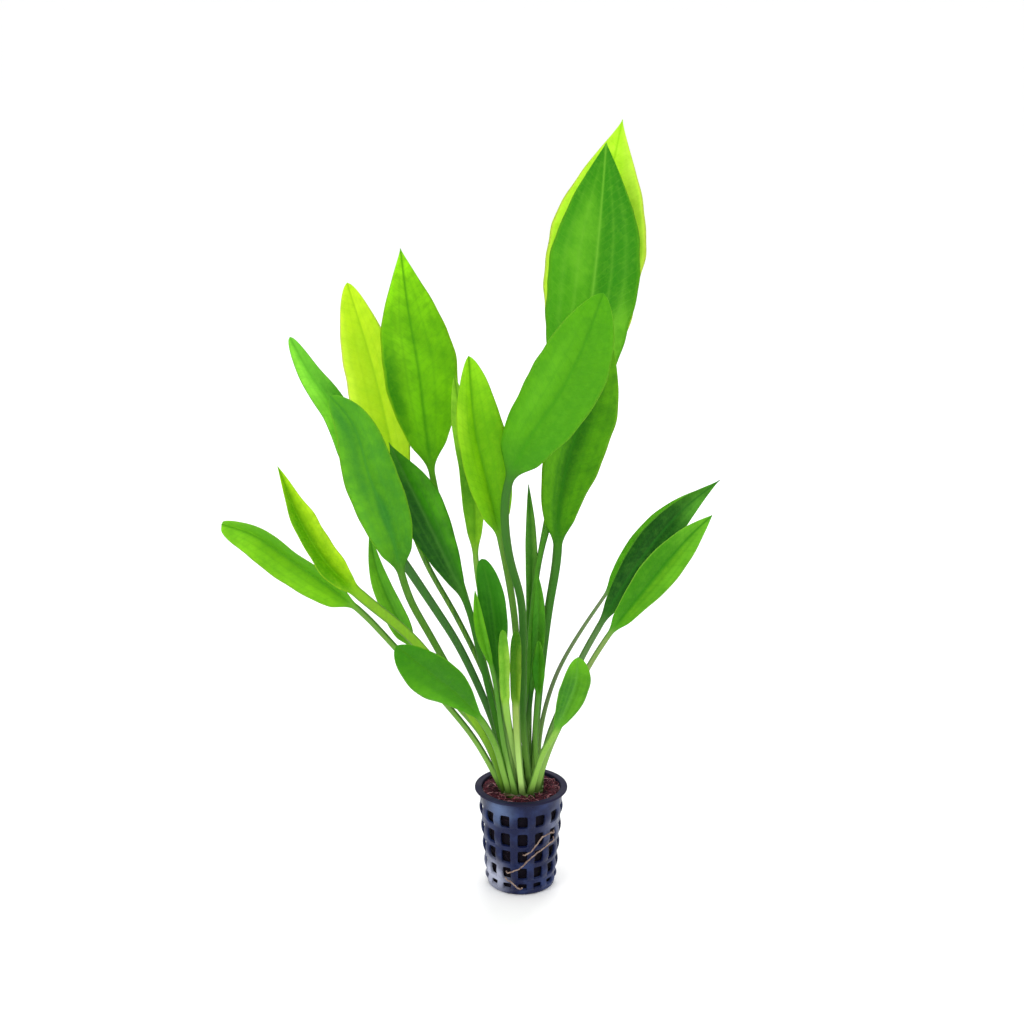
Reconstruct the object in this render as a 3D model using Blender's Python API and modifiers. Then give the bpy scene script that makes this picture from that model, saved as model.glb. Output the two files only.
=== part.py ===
"""Potted amazon sword plant: a rosette of lance-shaped leaves in a small plastic net pot.

Run with: blender --background --python part.py
Metres, +Z up. The origin is the middle of the pot's underside, and -Y is the front.
"""

import math

import bmesh
import bpy
import numpy as np
from mathutils import Vector

MM = 0.001

# Driving dimensions of the pot, in millimetres
POT_HEIGHT = 60.0
RIM_RADIUS = 26.5
RIM_THICKNESS = 1.4
WALL = 1.4
TOP_RADIUS = 23.9
FOOT_RADIUS = 19.2
FOOT_FLAT_RADIUS = 18.4
WINDOW_COLUMNS = 14
WINDOW_TURN = 2.0
WINDOW_BULGE = 0.8
WINDOW_ROWS = ((43.3, 50.6), (31.0, 39.4), (20.0, 28.4), (9.5, 17.4), (2.9, 7.2))
FOOT_BEVEL = 1.2
BASE_SLOT = (6.0, 15.0)
SMOOTH_BELOW = 35.0
GAP = 0.4

# Driving dimensions of what stands in the pot
SOIL_TOP = 56.0
SOIL_MOUND = (17.2, 57.6)
SOIL_EDGE_UP = 0.8
SOIL_EDGE_IN = 0.4
CROWN_RADIUS = 13.0
CROWN_SEAT = 1.2
CROWN_TOP = 60.2
CROWN_SHOULDER = (1.4, 1.6)
CROWN_DOME = 0.2
CROWN_TUCK = 0.6
LEAF_START = 60.6
RINGS = {"heart": 2.3, "inner": 6.3, "outer": 10.6}
STALK_FOOT = 3.2
STALK_SWELL = 0.7
BLADE_THICKNESS = 0.7
TIP_WIDTH = 1.0
FLAT_FROM = 0.16
NECK_UNTIL = 0.3
RIB_UNTIL = 0.45
ROUTE_STEPS = 24
AROUND = 8
ROOT_DIAMETER = 1.1
ROOT_LIFT = 2.0
ROOT_SUNK = 0.3

# Each leaf: where its stalk stands on the crown (ring, bearing in degrees from +X towards +Y),
# the stalk's route, the blade's route from neck to tip, all in millimetres, then the blade's
# flat width, its swell (place of the widest part from neck 0 to tip 1, slimness of the neck
# end, slimness of the tip end), how far each half folds forward, the turns about its own
# midrib at even steps from neck to tip, and the stalk's width.
LEAVES = {
    "leaf_tall_back": dict(
        stands=("outer", 66),
        stalk=[(4.5, 14, 107), (5.6, 15.5, 160), (12.8, 18.5, 206)],
        blade=[(22, 23, 251), (33.6, 33, 287), (39, 45, 333), (47, 59, 386), (56, 70, 429)],
        width=58, swell=(0.60, 1.0, 1.15), fold=10, turns=(20, 22, 18), stalk_width=2.8,
    ),
    "leaf_tall_front": dict(
        stands=("inner", 48),
        stalk=[(4.5, 5, 98), (5.3, 6, 150), (10.4, 8, 195)],
        blade=[(22.5, 12, 239), (31, 20, 290), (39, 29, 341), (44, 41, 391), (46, 45, 419)],
        width=51.5, swell=(0.62, 1.15, 1.0), fold=8, turns=(14, 16, 12), stalk_width=3.2,
    ),
    "leaf_right_shade": dict(
        stands=("inner", 8),
        stalk=[(10.2, 2, 118), (15.2, 3, 165)],
        blade=[(20, 4, 198), (20.5, 5, 223), (26.5, 9, 253), (37, 10, 284), (49, 7, 315)],
        width=39, swell=(0.58, 0.85, 0.9), fold=14, turns=(-24, -22, -16), stalk_width=5.2,
    ),
    "leaf_front_slant": dict(
        stands=("inner", 328),
        stalk=[(1, -10, 104), (1, -14, 154), (-0.2, -16, 178), (-6.8, -19, 204)],
        blade=[(-7.5, -25, 246), (4.5, -29, 273.5), (19.5, -34, 297.5), (30, -39, 320), (41, -50, 354)],
        width=39, swell=(0.55, 0.58, 0.62), fold=8, turns=(20, 16, 10), stalk_width=4.8,
    ),
    "leaf_centre_bright": dict(
        stands=("heart", 250),
        stalk=[(-1.8, -4, 100), (-3.8, -9, 165)],
        blade=[(-11, -15, 211), (-18.3, -17, 245), (-24.5, -18, 272), (-27, -20, 297), (-28, -22, 315.5)],
        width=32, swell=(0.52, 0.8, 0.62), fold=30, turns=(-10, -25, -22), stalk_width=4.0,
    ),
    "leaf_centre_behind": dict(
        stands=("heart", 145),
        stalk=[(-11.5, 1, 112), (-20.2, 1, 160)],
        blade=[(-25.3, 2, 195), (-26, 5, 222), (-27.5, 8, 248), (-33, 10, 273), (-36.5, 12, 297)],
        width=14.5, swell=(0.50, 0.7, 0.7), fold=10, turns=(12, 10, 8), stalk_width=3.2,
    ),
    "leaf_left_tall": dict(
        stands=("inner", 128),
        stalk=[(-12, 8, 93), (-28, 13, 157), (-40.5, 19, 200)],
        blade=[(-49.5, 26, 235), (-53.5, 32, 262), (-57.3, 39, 294), (-63, 46, 327), (-67, 50, 360.5)],
        width=44, swell=(0.48, 0.95, 1.06), fold=12, turns=(-24, -20, -14), stalk_width=3.6,
    ),
    "leaf_left_back": dict(
        stands=("outer", 114),
        stalk=[(-9.5, 13, 88), (-20, 14.5, 120), (-36.6, 18, 155.7), (-54.4, 25, 187)],
        blade=[(-65, 34, 213), (-75, 48, 255), (-84.3, 61, 291), (-99, 75, 337)],
        width=37.5, swell=(0.48, 0.95, 0.62), fold=14, turns=(24, 24, 18), stalk_width=3.2,
    ),
    "leaf_left_inner": dict(
        stands=("inner", 168),
        stalk=[(-13, 0, 93), (-24, 2, 143)],
        blade=[(-30, 3, 168), (-38.5, 5, 186), (-47.6, 7, 206), (-59.5, 10, 231), (-73, 14, 259)],
        width=26.5, swell=(0.64, 1.05, 1.25), fold=14, turns=(-16, -10, 0), stalk_width=3.8,
    ),
    "leaf_left_twisted": dict(
        stands=("inner", 208),
        stalk=[(-16, -6, 84), (-34, -9, 122), (-51.5, -13, 158), (-61.3, -15, 178)],
        blade=[
            (-65, -17, 191), (-69.5, -19, 213), (-75, -20, 231), (-82.2, -21, 251),
            (-86, -21, 268), (-91, -20, 281), (-101.5, -19, 293),
        ],
        width=31, swell=(0.48, 0.72, 0.52), fold=20, turns=(-8, -14, -12, -6), stalk_width=4.2,
    ),
    "leaf_left_strap": dict(
        stands=("outer", 138),
        stalk=[(-15, 10, 91), (-26.5, 10, 122), (-37.5, 8.5, 146), (-48, 6, 164.5), (-62.8, 2, 190)],
        blade=[
            (-73.5, -1, 208), (-84, -5, 235), (-92.3, -8, 262), (-98.8, -10, 282),
            (-112.8, -12, 304), (-122.5, -14, 324),
        ],
        width=16.4, swell=(0.58, 0.8, 0.5), fold=14, turns=(-4, -6, 4), stalk_width=5.2,
    ),
    "leaf_far_left": dict(
        stands=("outer", 186),
        stalk=[(-27, -6, 92), (-45.6, -11, 119), (-69.8, -15, 149.8)],
        blade=[(-89, -15, 171.5), (-107, -13, 185.7), (-128, -9, 199.8), (-147, -6, 212.2), (-164.5, -4, 217.5)],
        width=27.2, swell=(0.50, 0.6, 0.38), fold=30, turns=(15, 22, 12), stalk_width=3.6,
    ),
    "leaf_far_left_folded": dict(
        stands=("outer", 210),
        stalk=[(-18, -12, 89), (-34, -19, 119.5), (-58.8, -29, 159.4)],
        blade=[(-86, -38, 187.7), (-103, -43, 206.5), (-116, -47, 231), (-127, -50, 263)],
        width=20.5, swell=(0.40, 0.85, 0.85), fold=40, turns=(-20, -35, -30), stalk_width=6.0,
    ),
    "leaf_front_spoon": dict(
        stands=("outer", 232),
        stalk=[(-10.4, -15, 76), (-14.3, -29, 97)],
        blade=[(-21, -41, 116), (-34, -54, 137), (-49, -68, 156), (-65, -80, 175)],
        width=26, swell=(0.63, 1.35, 0.55), fold=12, turns=(4, 2, 0), stalk_width=3.8,
    ),
    "leaf_left_low": dict(
        stands=("outer", 162),
        stalk=[(-19, 7, 82), (-44, 15, 112)],
        blade=[(-60.5, 23, 133), (-71.8, 30, 153), (-81.9, 36, 175), (-87, 40, 201)],
        width=14.4, swell=(0.30, 0.8, 1.0), fold=16, turns=(10, 8, 6), stalk_width=3.0,
    ),
    "leaf_young_oval": dict(
        stands=("inner", 248),
        stalk=[(-8, -11, 100)],
        blade=[(-11.8, -18, 129), (-14.4, -24, 163), (-16.6, -27, 184), (-21.5, -30, 206)],
        width=15.2, swell=(0.62, 0.9, 0.42), fold=10, turns=(-10, -10, -8), stalk_width=3.0,
    ),
    "leaf_young_narrow": dict(
        stands=("outer", 253),
        stalk=[(-9.5, -19, 92)],
        blade=[(-16, -27, 142), (-20, -32, 158), (-23, -36, 174), (-25, -39, 191)],
        width=6.8, swell=(0.50, 0.8, 0.8), fold=20, turns=(14, 12, 10), stalk_width=2.8,
    ),
    "leaf_new_left": dict(
        stands=("inner", 288),
        stalk=[(-5.1, -15, 92)],
        blade=[(-8.8, -26, 120), (-9.6, -35, 147), (-10.2, -40, 169)],
        width=6.8, swell=(0.60, 0.4, 0.3), fold=26, turns=(-10, -10, -10), stalk_width=4.4,
    ),
    "leaf_new_right": dict(
        stands=("outer", 275),
        stalk=[(-2, -18, 92)],
        blade=[(-3, -24, 118), (-2.9, -28, 147), (-2.8, -31, 165)],
        width=7.2, swell=(0.65, 0.4, 0.3), fold=26, turns=(12, 12, 12), stalk_width=4.4,
    ),
    "leaf_slim_upright": dict(
        stands=("inner", 88),
        stalk=[(3, 9, 98)],
        blade=[(4, 10, 145), (6, 11, 180), (5.2, 13, 214), (4, 14, 235)],
        width=7.4, swell=(0.50, 0.9, 0.8), fold=20, turns=(10, 8, 6), stalk_width=2.8,
    ),
    "leaf_short_upright": dict(
        stands=("heart", 15),
        stalk=[(3, -2, 83)],
        blade=[(5, -3, 114), (8.5, -3, 144), (9.5, -3, 172), (9, -2, 188)],
        width=8.5, swell=(0.60, 0.8, 0.8), fold=22, turns=(-16, -14, -10), stalk_width=3.0,
    ),
    "leaf_short_front": dict(
        stands=("outer", 341),
        stalk=[(8, -6, 99)],
        blade=[(9.5, -9, 118), (9.8, -10, 135), (9.6, -10.5, 152)],
        width=7.8, swell=(0.50, 0.8, 0.6), fold=22, turns=(12, 10, 8), stalk_width=2.8,
    ),
    "leaf_right_upper": dict(
        stands=("outer", 8),
        stalk=[(14, 0.5, 84), (24, -3, 114), (34.5, -4, 141)],
        blade=[(42.5, -3, 156), (54.5, 0, 177), (72, 4, 203), (91, 9, 223.8), (110, 15, 237.3)],
        width=20.8, swell=(0.53, 0.95, 1.15), fold=12, turns=(-8, -6, -4), stalk_width=3.6,
    ),
    "leaf_right_behind": dict(
        stands=("outer", 31),
        stalk=[(11.4, 9.5, 92), (21.2, 14, 125), (34, 19, 147)],
        blade=[(46.5, 23, 165), (58.5, 28, 182), (74.5, 34, 201), (90.5, 40, 213.5), (103, 45, 223)],
        width=16.2, swell=(0.58, 0.8, 0.7), fold=10, turns=(8, 6, 4), stalk_width=2.0,
    ),
    "leaf_right_lower": dict(
        stands=("outer", 319),
        stalk=[(15.5, -13, 87), (25.5, -24, 116), (35.5, -32, 143)],
        blade=[(46, -38, 164), (62.5, -44, 190), (79, -50, 214.5), (90, -53, 228.5), (99, -55, 238)],
        width=20.6, swell=(0.58, 0.8, 0.9), fold=10, turns=(-8, -6, -4), stalk_width=3.0,
    ),
    "leaf_right_spoon": dict(
        stands=("outer", 297),
        stalk=[(8.5, -20, 77), (12.5, -36, 97)],
        blade=[(18.5, -51, 115), (25, -62, 136), (28.6, -70, 151), (29.2, -76, 167)],
        width=16, swell=(0.66, 0.8, 0.5), fold=10, turns=(-10, -8, -6), stalk_width=4.2,
    ),
}
SMALL_WIDTH = 12.0
LARGE_STATIONS = (6, 9)
SMALL_STATIONS = (4, 7)

# Each root: a strand on the pot wall, as (bearing in degrees right of the front, height).
# Its first and last two marks lie in window openings, where it comes out and goes in.
ROOTS = {
    "root_long": [
        (55.5, 33.5), (51, 33), (37, 31), (24, 28), (13, 25), (3, 20.5), (-9, 17), (-20, 15.2), (-24, 15),
    ],
    "root_loop": [(3, 26.5), (7, 27.6), (14, 29.5), (21, 33), (29, 37), (40, 38.5), (50, 38), (54, 38)],
    "root_short": [(-27, 11), (-22, 10.8), (-12, 8.4), (-6, 6), (-2, 5.2), (2, 5)],
}

# Colours as linear red, green, blue
LEAF_GREENS = {
    "bright": (0.19, 0.50, 0.02),
    "mid": (0.09, 0.33, 0.02),
    "dark": (0.03, 0.19, 0.01),
    "lime": (0.42, 0.76, 0.03),
}
LEAF_SHADES = {
    "leaf_tall_back": "lime",
    "leaf_left_back": "lime",
    "leaf_far_left_folded": "lime",
    "leaf_new_left": "lime",
    "leaf_centre_bright": "bright",
    "leaf_left_tall": "bright",
    "leaf_left_strap": "bright",
    "leaf_centre_behind": "bright",
    "leaf_far_left": "bright",
    "leaf_right_shade": "dark",
    "leaf_left_inner": "dark",
    "leaf_right_upper": "dark",
    "leaf_young_oval": "dark",
    "leaf_short_upright": "dark",
}


def clear_scene():
    for thing in list(bpy.data.objects):
        bpy.data.objects.remove(thing, do_unlink=True)


def make_material(name, colour, roughness, metallic=0.0):
    material = bpy.data.materials.new(name)
    material.use_nodes = True
    shader = material.node_tree.nodes["Principled BSDF"]
    shader.inputs["Base Color"].default_value = (*colour, 1.0)
    shader.inputs["Roughness"].default_value = roughness
    shader.inputs["Metallic"].default_value = metallic
    return material


def add_object(name, mesh, material, collection):
    thing = bpy.data.objects.new(name, mesh)
    mesh.materials.clear()
    mesh.materials.append(material)
    collection.objects.link(thing)
    return thing


def wall_radius(height):
    """Outer radius of the pot's plain wall at a height, in millimetres."""
    share = height / (POT_HEIGHT - RIM_THICKNESS)
    return FOOT_RADIUS + (TOP_RADIUS - FOOT_RADIUS) * share


def pot_profile():
    """Outer line of the pot from the rim's edge in and down to the foot, as (radius, height)."""
    under_rim = POT_HEIGHT - RIM_THICKNESS
    line = [(RIM_RADIUS, under_rim), (TOP_RADIUS, under_rim)]
    for low, high in WINDOW_ROWS:
        middle = (low + high) / 2
        line.append((wall_radius(high), high))
        line.append((wall_radius(middle) + WINDOW_BULGE, middle))
        line.append((wall_radius(low), low))
    line.append((FOOT_RADIUS, FOOT_BEVEL))
    line.append((FOOT_FLAT_RADIUS, 0.0))
    line.append((BASE_SLOT[1], 0.0))
    line.append((BASE_SLOT[0], 0.0))
    return line


def is_window(face, pitch):
    """True for a face in a window row or base slot, in every second column."""
    centre = face.calc_center_median() / MM
    bearing = math.degrees(math.atan2(centre.x, -centre.y)) - WINDOW_TURN
    in_column = abs((bearing + pitch / 2) % pitch - pitch / 2) < pitch / 4
    radius = math.hypot(centre.x, centre.y)
    in_row = any(low < centre.z < high for low, high in WINDOW_ROWS)
    in_slot = centre.z < 0.1 and BASE_SLOT[0] < radius < BASE_SLOT[1]
    return in_column and (in_row or in_slot)


def make_pot(collection):
    """Net pot: the profile is spun, every second face of each row is opened, then it is thickened."""
    pitch = 360.0 / WINDOW_COLUMNS
    start = math.radians(WINDOW_TURN + pitch / 4)
    body = bmesh.new()
    line = [
        body.verts.new((r * math.sin(start) * MM, -r * math.cos(start) * MM, z * MM))
        for r, z in pot_profile()
    ]
    edges = [body.edges.new(pair) for pair in zip(line, line[1:])]
    bmesh.ops.spin(
        body,
        geom=line + edges,
        cent=(0, 0, 0),
        axis=(0, 0, 1),
        angle=math.tau,
        steps=2 * WINDOW_COLUMNS,
        use_merge=True,
    )
    bmesh.ops.remove_doubles(body, verts=body.verts, dist=1e-6)
    inner = [e for e in body.edges if e.is_boundary and e.verts[0].co.z < 1e-6]
    bmesh.ops.contextual_create(body, geom=inner)
    bmesh.ops.recalc_face_normals(body, faces=body.faces)
    disc = max(body.faces, key=lambda face: len(face.verts))
    if disc.normal.z > 0:
        bmesh.ops.reverse_faces(body, faces=body.faces)
    openings = [face for face in body.faces if is_window(face, pitch)]
    bmesh.ops.delete(body, geom=openings, context="FACES")
    mesh = bpy.data.meshes.new("pot")
    body.to_mesh(mesh)
    body.free()
    black = make_material("pot_plastic", (0.035, 0.06, 0.17), 0.35)
    pot = add_object("pot", mesh, black, collection)
    shell = pot.modifiers.new("wall", "SOLIDIFY")
    shell.thickness = WALL * MM
    shell.offset = -1.0
    shell.use_even_offset = True
    mesh.shade_smooth()
    mesh.set_sharp_from_angle(angle=math.radians(SMOOTH_BELOW))
    return pot


def turned(name, line, material, collection):
    """A solid turned about the pot's axis from an outline that starts and ends on it."""
    pitch = 360.0 / WINDOW_COLUMNS
    start = math.radians(WINDOW_TURN + pitch / 4)
    mesh = bpy.data.meshes.new(name)
    points = [(r * math.sin(start) * MM, -r * math.cos(start) * MM, z * MM) for r, z in line]
    mesh.from_pydata(points, [(i, i + 1) for i in range(len(points) - 1)], [])
    thing = add_object(name, mesh, material, collection)
    screw = thing.modifiers.new("turn", "SCREW")
    screw.steps = 2 * WINDOW_COLUMNS
    screw.render_steps = 2 * WINDOW_COLUMNS
    screw.use_merge_vertices = True
    screw.merge_threshold = 0.00001
    screw.use_normal_calculate = True
    return thing


def make_soil(collection):
    """Fibre plug that fills the pot: flat where the crown sits, banked up towards the wall."""
    inside = WALL + GAP
    line = [
        (0.0, SOIL_TOP),
        (CROWN_RADIUS + CROWN_SEAT, SOIL_TOP),
        SOIL_MOUND,
        (wall_radius(SOIL_TOP) - inside - SOIL_EDGE_IN, SOIL_TOP + SOIL_EDGE_UP),
        (wall_radius(inside) - inside - SOIL_EDGE_IN, inside + SOIL_EDGE_UP),
        (0.0, inside),
    ]
    brown = make_material("soil_fibre", (0.06, 0.015, 0.02), 0.9)
    return turned("soil", line, brown, collection)


def make_crown(collection):
    """Short rootstock that all the stalks and roots grow from."""
    line = [
        (0.0, CROWN_TOP),
        (CROWN_RADIUS - CROWN_SHOULDER[0], CROWN_TOP - CROWN_DOME),
        (CROWN_RADIUS, CROWN_TOP - CROWN_SHOULDER[1]),
        (CROWN_RADIUS - CROWN_TUCK, SOIL_TOP + GAP),
        (0.0, SOIL_TOP + GAP),
    ]
    pale = make_material("crown_flesh", (0.25, 0.42, 0.10), 0.55)
    return turned("crown", line, pale, collection)


def smooth_line(points, steps):
    """Dense points on a smooth cubic through the given points; each span gets the same steps."""
    points = np.array(points, dtype=float)
    knots = np.concatenate(([0.0], np.cumsum(np.linalg.norm(np.diff(points, axis=0), axis=1))))
    slopes = np.gradient(points, knots, axis=0)
    dense = []
    for i in range(len(points) - 1):
        span = knots[i + 1] - knots[i]
        t = np.linspace(0, 1, steps, endpoint=False)[:, None]
        dense.append(
            (2 * t**3 - 3 * t**2 + 1) * points[i]
            + (t**3 - 2 * t**2 + t) * span * slopes[i]
            + (3 * t**2 - 2 * t**3) * points[i + 1]
            + (t**3 - t**2) * span * slopes[i + 1]
        )
    dense.append(points[-1:])
    return np.concatenate(dense)


def unit(rows):
    return rows / np.linalg.norm(rows, axis=-1, keepdims=True)


def blade_half_width(share, leaf):
    """Half of the blade's flat width: a sine that rises from the neck, then one that falls to the tip."""
    belly, neck_slim, tip_slim = leaf["swell"]
    rise = np.sin(math.pi / 2 * np.clip(share / belly, 0, 1)) ** neck_slim
    fall = np.sin(math.pi / 2 * np.clip((1 - share) / (1 - belly), 0, 1)) ** tip_slim
    return leaf["width"] / 2 * rise * fall


def leaf_sections(leaf):
    """Points around the leaf at each station: a round stalk that flattens into the blade."""
    ring, bearing = leaf["stands"]
    angle = math.radians(bearing)
    foot = (RINGS[ring] * math.cos(angle), RINGS[ring] * math.sin(angle), LEAF_START)
    dense = smooth_line([foot] + leaf["stalk"] + leaf["blade"], ROUTE_STEPS)
    run = np.concatenate(([0.0], np.cumsum(np.linalg.norm(np.diff(dense, axis=0), axis=1))))
    neck = run[ROUTE_STEPS * (len(leaf["stalk"]) + 1)]
    on_stalk, on_blade = SMALL_STATIONS if leaf["width"] < SMALL_WIDTH else LARGE_STATIONS
    along = np.linspace(0, 1, on_blade + 1)
    share = np.concatenate((np.zeros(on_stalk), along))
    on_neck = np.linspace(0, neck, on_stalk, endpoint=False)
    at = np.concatenate((on_neck, neck + (run[-1] - neck) * along))
    spine = np.stack([np.interp(at, run, dense[:, k]) for k in range(3)], axis=1)
    slope = np.gradient(dense, run, axis=0)
    tangent = unit(np.stack([np.interp(at, run, slope[:, k]) for k in range(3)], axis=1))
    front = np.array((0.0, -1.0, 0.0))
    across = unit(np.cross(tangent, front))
    facing = np.cross(across, tangent)
    turns = leaf["turns"]
    turn = np.radians(np.interp(share, np.linspace(0, 1, len(turns)), turns))[:, None]
    across, facing = (
        across * np.cos(turn) + facing * np.sin(turn),
        facing * np.cos(turn) - across * np.sin(turn),
    )
    climb = np.clip(at / neck, 0, 1)
    stalk_radius = (STALK_FOOT + (leaf["stalk_width"] - STALK_FOOT) * climb**STALK_SWELL) / 2
    half = np.maximum(blade_half_width(share, leaf), TIP_WIDTH / 2)
    half = np.where(share < NECK_UNTIL, np.maximum(half, stalk_radius), half)
    flat = np.clip(share / FLAT_FROM, 0, 1)
    fold = math.radians(leaf["fold"])
    slim = np.where(share < 1, BLADE_THICKNESS / 2, BLADE_THICKNESS / 4)
    rib = slim + (stalk_radius - slim) * np.clip(1 - share / RIB_UNTIL, 0, 1)
    sections = []
    for k in range(AROUND):
        round_angle = math.tau * k / AROUND
        u = (1.0, 0.5, 0.0, -0.5, -1.0, -0.5, 0.0, 0.5)[k]
        side = (0, 1, 1, 1, 0, -1, -1, -1)[k]
        depth = (rib if u == 0 else slim) * side
        blade_x = u * half * math.cos(fold)
        blade_y = abs(u) * half * math.sin(fold) * flat + depth
        x = flat * blade_x + (1 - flat) * stalk_radius * math.cos(round_angle)
        y = flat * blade_y + (1 - flat) * stalk_radius * math.sin(round_angle)
        sections.append(spine + across * x[:, None] + facing * y[:, None])
    sections = np.stack(sections, axis=1)
    sections[0, :, 2] = LEAF_START
    return sections


def make_leaf(name, leaf, material, collection):
    """One leaf, stalk and blade grown as one, lofted through its sections and capped."""
    sections = leaf_sections(leaf)
    stations, around = sections.shape[:2]
    index = np.arange(stations * around).reshape(stations, around)
    low, high = index[:-1], index[1:]
    sides = np.stack(
        (low, high, np.roll(high, -1, axis=1), np.roll(low, -1, axis=1)), axis=-1
    ).reshape(-1, 4)
    caps = [index[0].tolist(), index[-1][::-1].tolist()]
    mesh = bpy.data.meshes.new(name)
    mesh.from_pydata((sections.reshape(-1, 3) * MM).tolist(), [], sides.tolist() + caps)
    mesh.shade_smooth()
    return add_object(name, mesh, material, collection)


def make_root(name, marks, material, collection):
    """A root strand that comes out of one window, lies on the wall and goes in at another."""
    lifts = [ROOT_SUNK] + [ROOT_LIFT] * (len(marks) - 2) + [ROOT_SUNK]
    route = []
    for (bearing, height), lift in zip(marks, lifts):
        angle = math.radians(bearing)
        radius = wall_radius(height) + lift
        route.append((radius * math.sin(angle), -radius * math.cos(angle), height))
    curve = bpy.data.curves.new(name, "CURVE")
    curve.dimensions = "3D"
    curve.bevel_depth = ROOT_DIAMETER / 2 * MM
    curve.bevel_resolution = 1
    curve.use_fill_caps = True
    points = smooth_line(route, 2)
    spline = curve.splines.new("POLY")
    spline.points.add(len(points) - 1)
    for spot, point in zip(spline.points, points):
        spot.co = (*(Vector(point) * MM), 1.0)
    strand = bpy.data.objects.new(name, curve)
    curve.materials.append(material)
    collection.objects.link(strand)
    return strand


def main():
    clear_scene()
    plant = bpy.data.collections.new("potted_amazon_sword")
    bpy.context.scene.collection.children.link(plant)
    make_pot(plant)
    make_soil(plant)
    make_crown(plant)
    for name, leaf in LEAVES.items():
        shade = LEAF_SHADES.get(name, "mid")
        green = make_material(name + "_green", LEAF_GREENS[shade], 0.45)
        make_leaf(name, leaf, green, plant)
    for name, marks in ROOTS.items():
        pale = make_material(name + "_pale", (0.45, 0.32, 0.28), 0.6)
        make_root(name, marks, pale, plant)


main()
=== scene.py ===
"""Potted amazon sword plant: the looks of its leaves, crown, planting fibre, roots and net pot.

The tables are in millimetres and the meshes in metres, +Z up, with -Y the front.
"""

import math

import bmesh
import bpy
import numpy as np
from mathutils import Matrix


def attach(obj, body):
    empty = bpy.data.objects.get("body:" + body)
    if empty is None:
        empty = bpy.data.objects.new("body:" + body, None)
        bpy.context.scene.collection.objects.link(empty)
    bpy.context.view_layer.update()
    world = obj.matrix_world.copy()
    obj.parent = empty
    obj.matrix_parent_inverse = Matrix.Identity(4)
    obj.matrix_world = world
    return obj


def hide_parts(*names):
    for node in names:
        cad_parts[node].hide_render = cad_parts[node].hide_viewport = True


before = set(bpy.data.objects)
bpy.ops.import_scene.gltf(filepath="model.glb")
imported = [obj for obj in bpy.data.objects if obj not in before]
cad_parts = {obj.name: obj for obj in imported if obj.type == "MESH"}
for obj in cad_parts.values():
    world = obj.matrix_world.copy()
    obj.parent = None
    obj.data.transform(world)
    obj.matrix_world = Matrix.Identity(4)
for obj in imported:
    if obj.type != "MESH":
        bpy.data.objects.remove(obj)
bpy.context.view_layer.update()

MM = 0.001
# First seeds of the random draws
SEEDS = {"leaf": 40, "plug": 7, "strands": 21, "crown": 3, "root": 60}

# Net pot
POT_HEIGHT = 60.0
RIM_THICKNESS = 1.4
RIM_RADIUS = 26.5
TOP_RADIUS = 23.9
FOOT_RADIUS = 19.2
FOOT_BEVEL = 1.2
WALL = 1.4
WALL_TOP = POT_HEIGHT - RIM_THICKNESS
COLUMNS = 14
WINDOW_TURN = math.radians(2.0)
WINDOW_BULGE = 0.8
# Heights of the lower and upper edge of each row of windows
WINDOW_ROWS = ((43.3, 50.6), (31.0, 39.4), (20.0, 28.4), (9.5, 17.4), (2.9, 7.2))
# Half of a window's width, as a share of the pitch of the columns
WINDOW_HALF = 0.28
TILE_MARGIN = 0.25
TILE_STEPS = 8
# Low ribs between the columns, which fade out over this distance on the plain bands
RIB_HEIGHT = 0.22
RIB_FADE = 0.4
# The base's slots, from and to these distances from its middle
BASE_SLOT = (6.0, 15.0)
# Points nearer than this are one, and edges sharper than this angle stay sharp
MERGE = 0.02 * MM
SHARP_EDGE = math.radians(50)
# Paler patches on the pot: a patch low on the left, and painted reflections of the light high on the left
# side and on the right side; each as centre, reach, colour and strength
POT_SHEEN_AND_PALE_PATCHES = (
    ((-17, -12, 9), 17, "#A4A8BC", 1.6),
    ((-13, -20, 53.5), 13, "#6C82AC", 1.0),
    ((19, -13, 40), 14, "#8088A6", 0.6),
)

# Fibre plug and its loose strands
PLUG_TOP = 56.2
PLUG_FOOT = 1.9
PLUG_GAP = 0.4
PLUG_BANK = 2.4
STRANDS = 420
STRANDS_ON_TOP = 300
STRAND_TAPER = (0.4, 0.8, 1, 1, 1, 1, 0.8, 0.3)
STRAND_LEVEL = 58.2

# Crown
CROWN_RADIUS = 13.0
CROWN_TOP = 60.0
CROWN_FOOT = 56.4
CROWN_SHOULDER = 1.2

# Rosette
RINGS = {"heart": 2.3, "inner": 6.3, "outer": 10.6}
LEAF_FOOT = 58.6
STALK_FOOT = 3.2
BLADE_THICKNESS = 0.5
# A leaf's route: steps in each span of the cubic, even points read off it, and softening
ROUTE_STEPS = 24
ROUTE_POINTS = 800
ROUTE_SOFTNESS = 5.0
# The stalk's foot is wider by this share, which fades out upwards; a channel runs along its face
FOOT_FLARE = 0.45
FLARE_REACH = 7.0
CHANNEL = 0.32
# The stalk's section has turned into the blade's at this share of the blade
FLAT_FROM = 0.16
# Margins: the longest wave, and the usual strength of the waves
WAVE_LENGTH = 38.0
USUAL_WAVES = (0.015, 0.5)
# Face of the blade: arch as a share of the half width, height and step of the quilting, depth of
# the midrib's groove, height of its keel as a share of the stalk's radius, and the finer ribs on
# each side (place from the midrib 0 to the margin 1, weight)
ARCH = 0.045
QUILT_HEIGHT = 0.06
QUILT_STEP = 9.0
GROOVE = 0.16
KEEL = 1.1
FINER_RIBS = ((0.36, 0.45), (0.68, 0.3))
# Rings of points on the stalk and the blade, and points over one face: wide and slim leaves
WIDE_LEAF = 12
WIDE_GRID = (40, 110, 33)
SLIM_GRID = (34, 60, 17)

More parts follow.
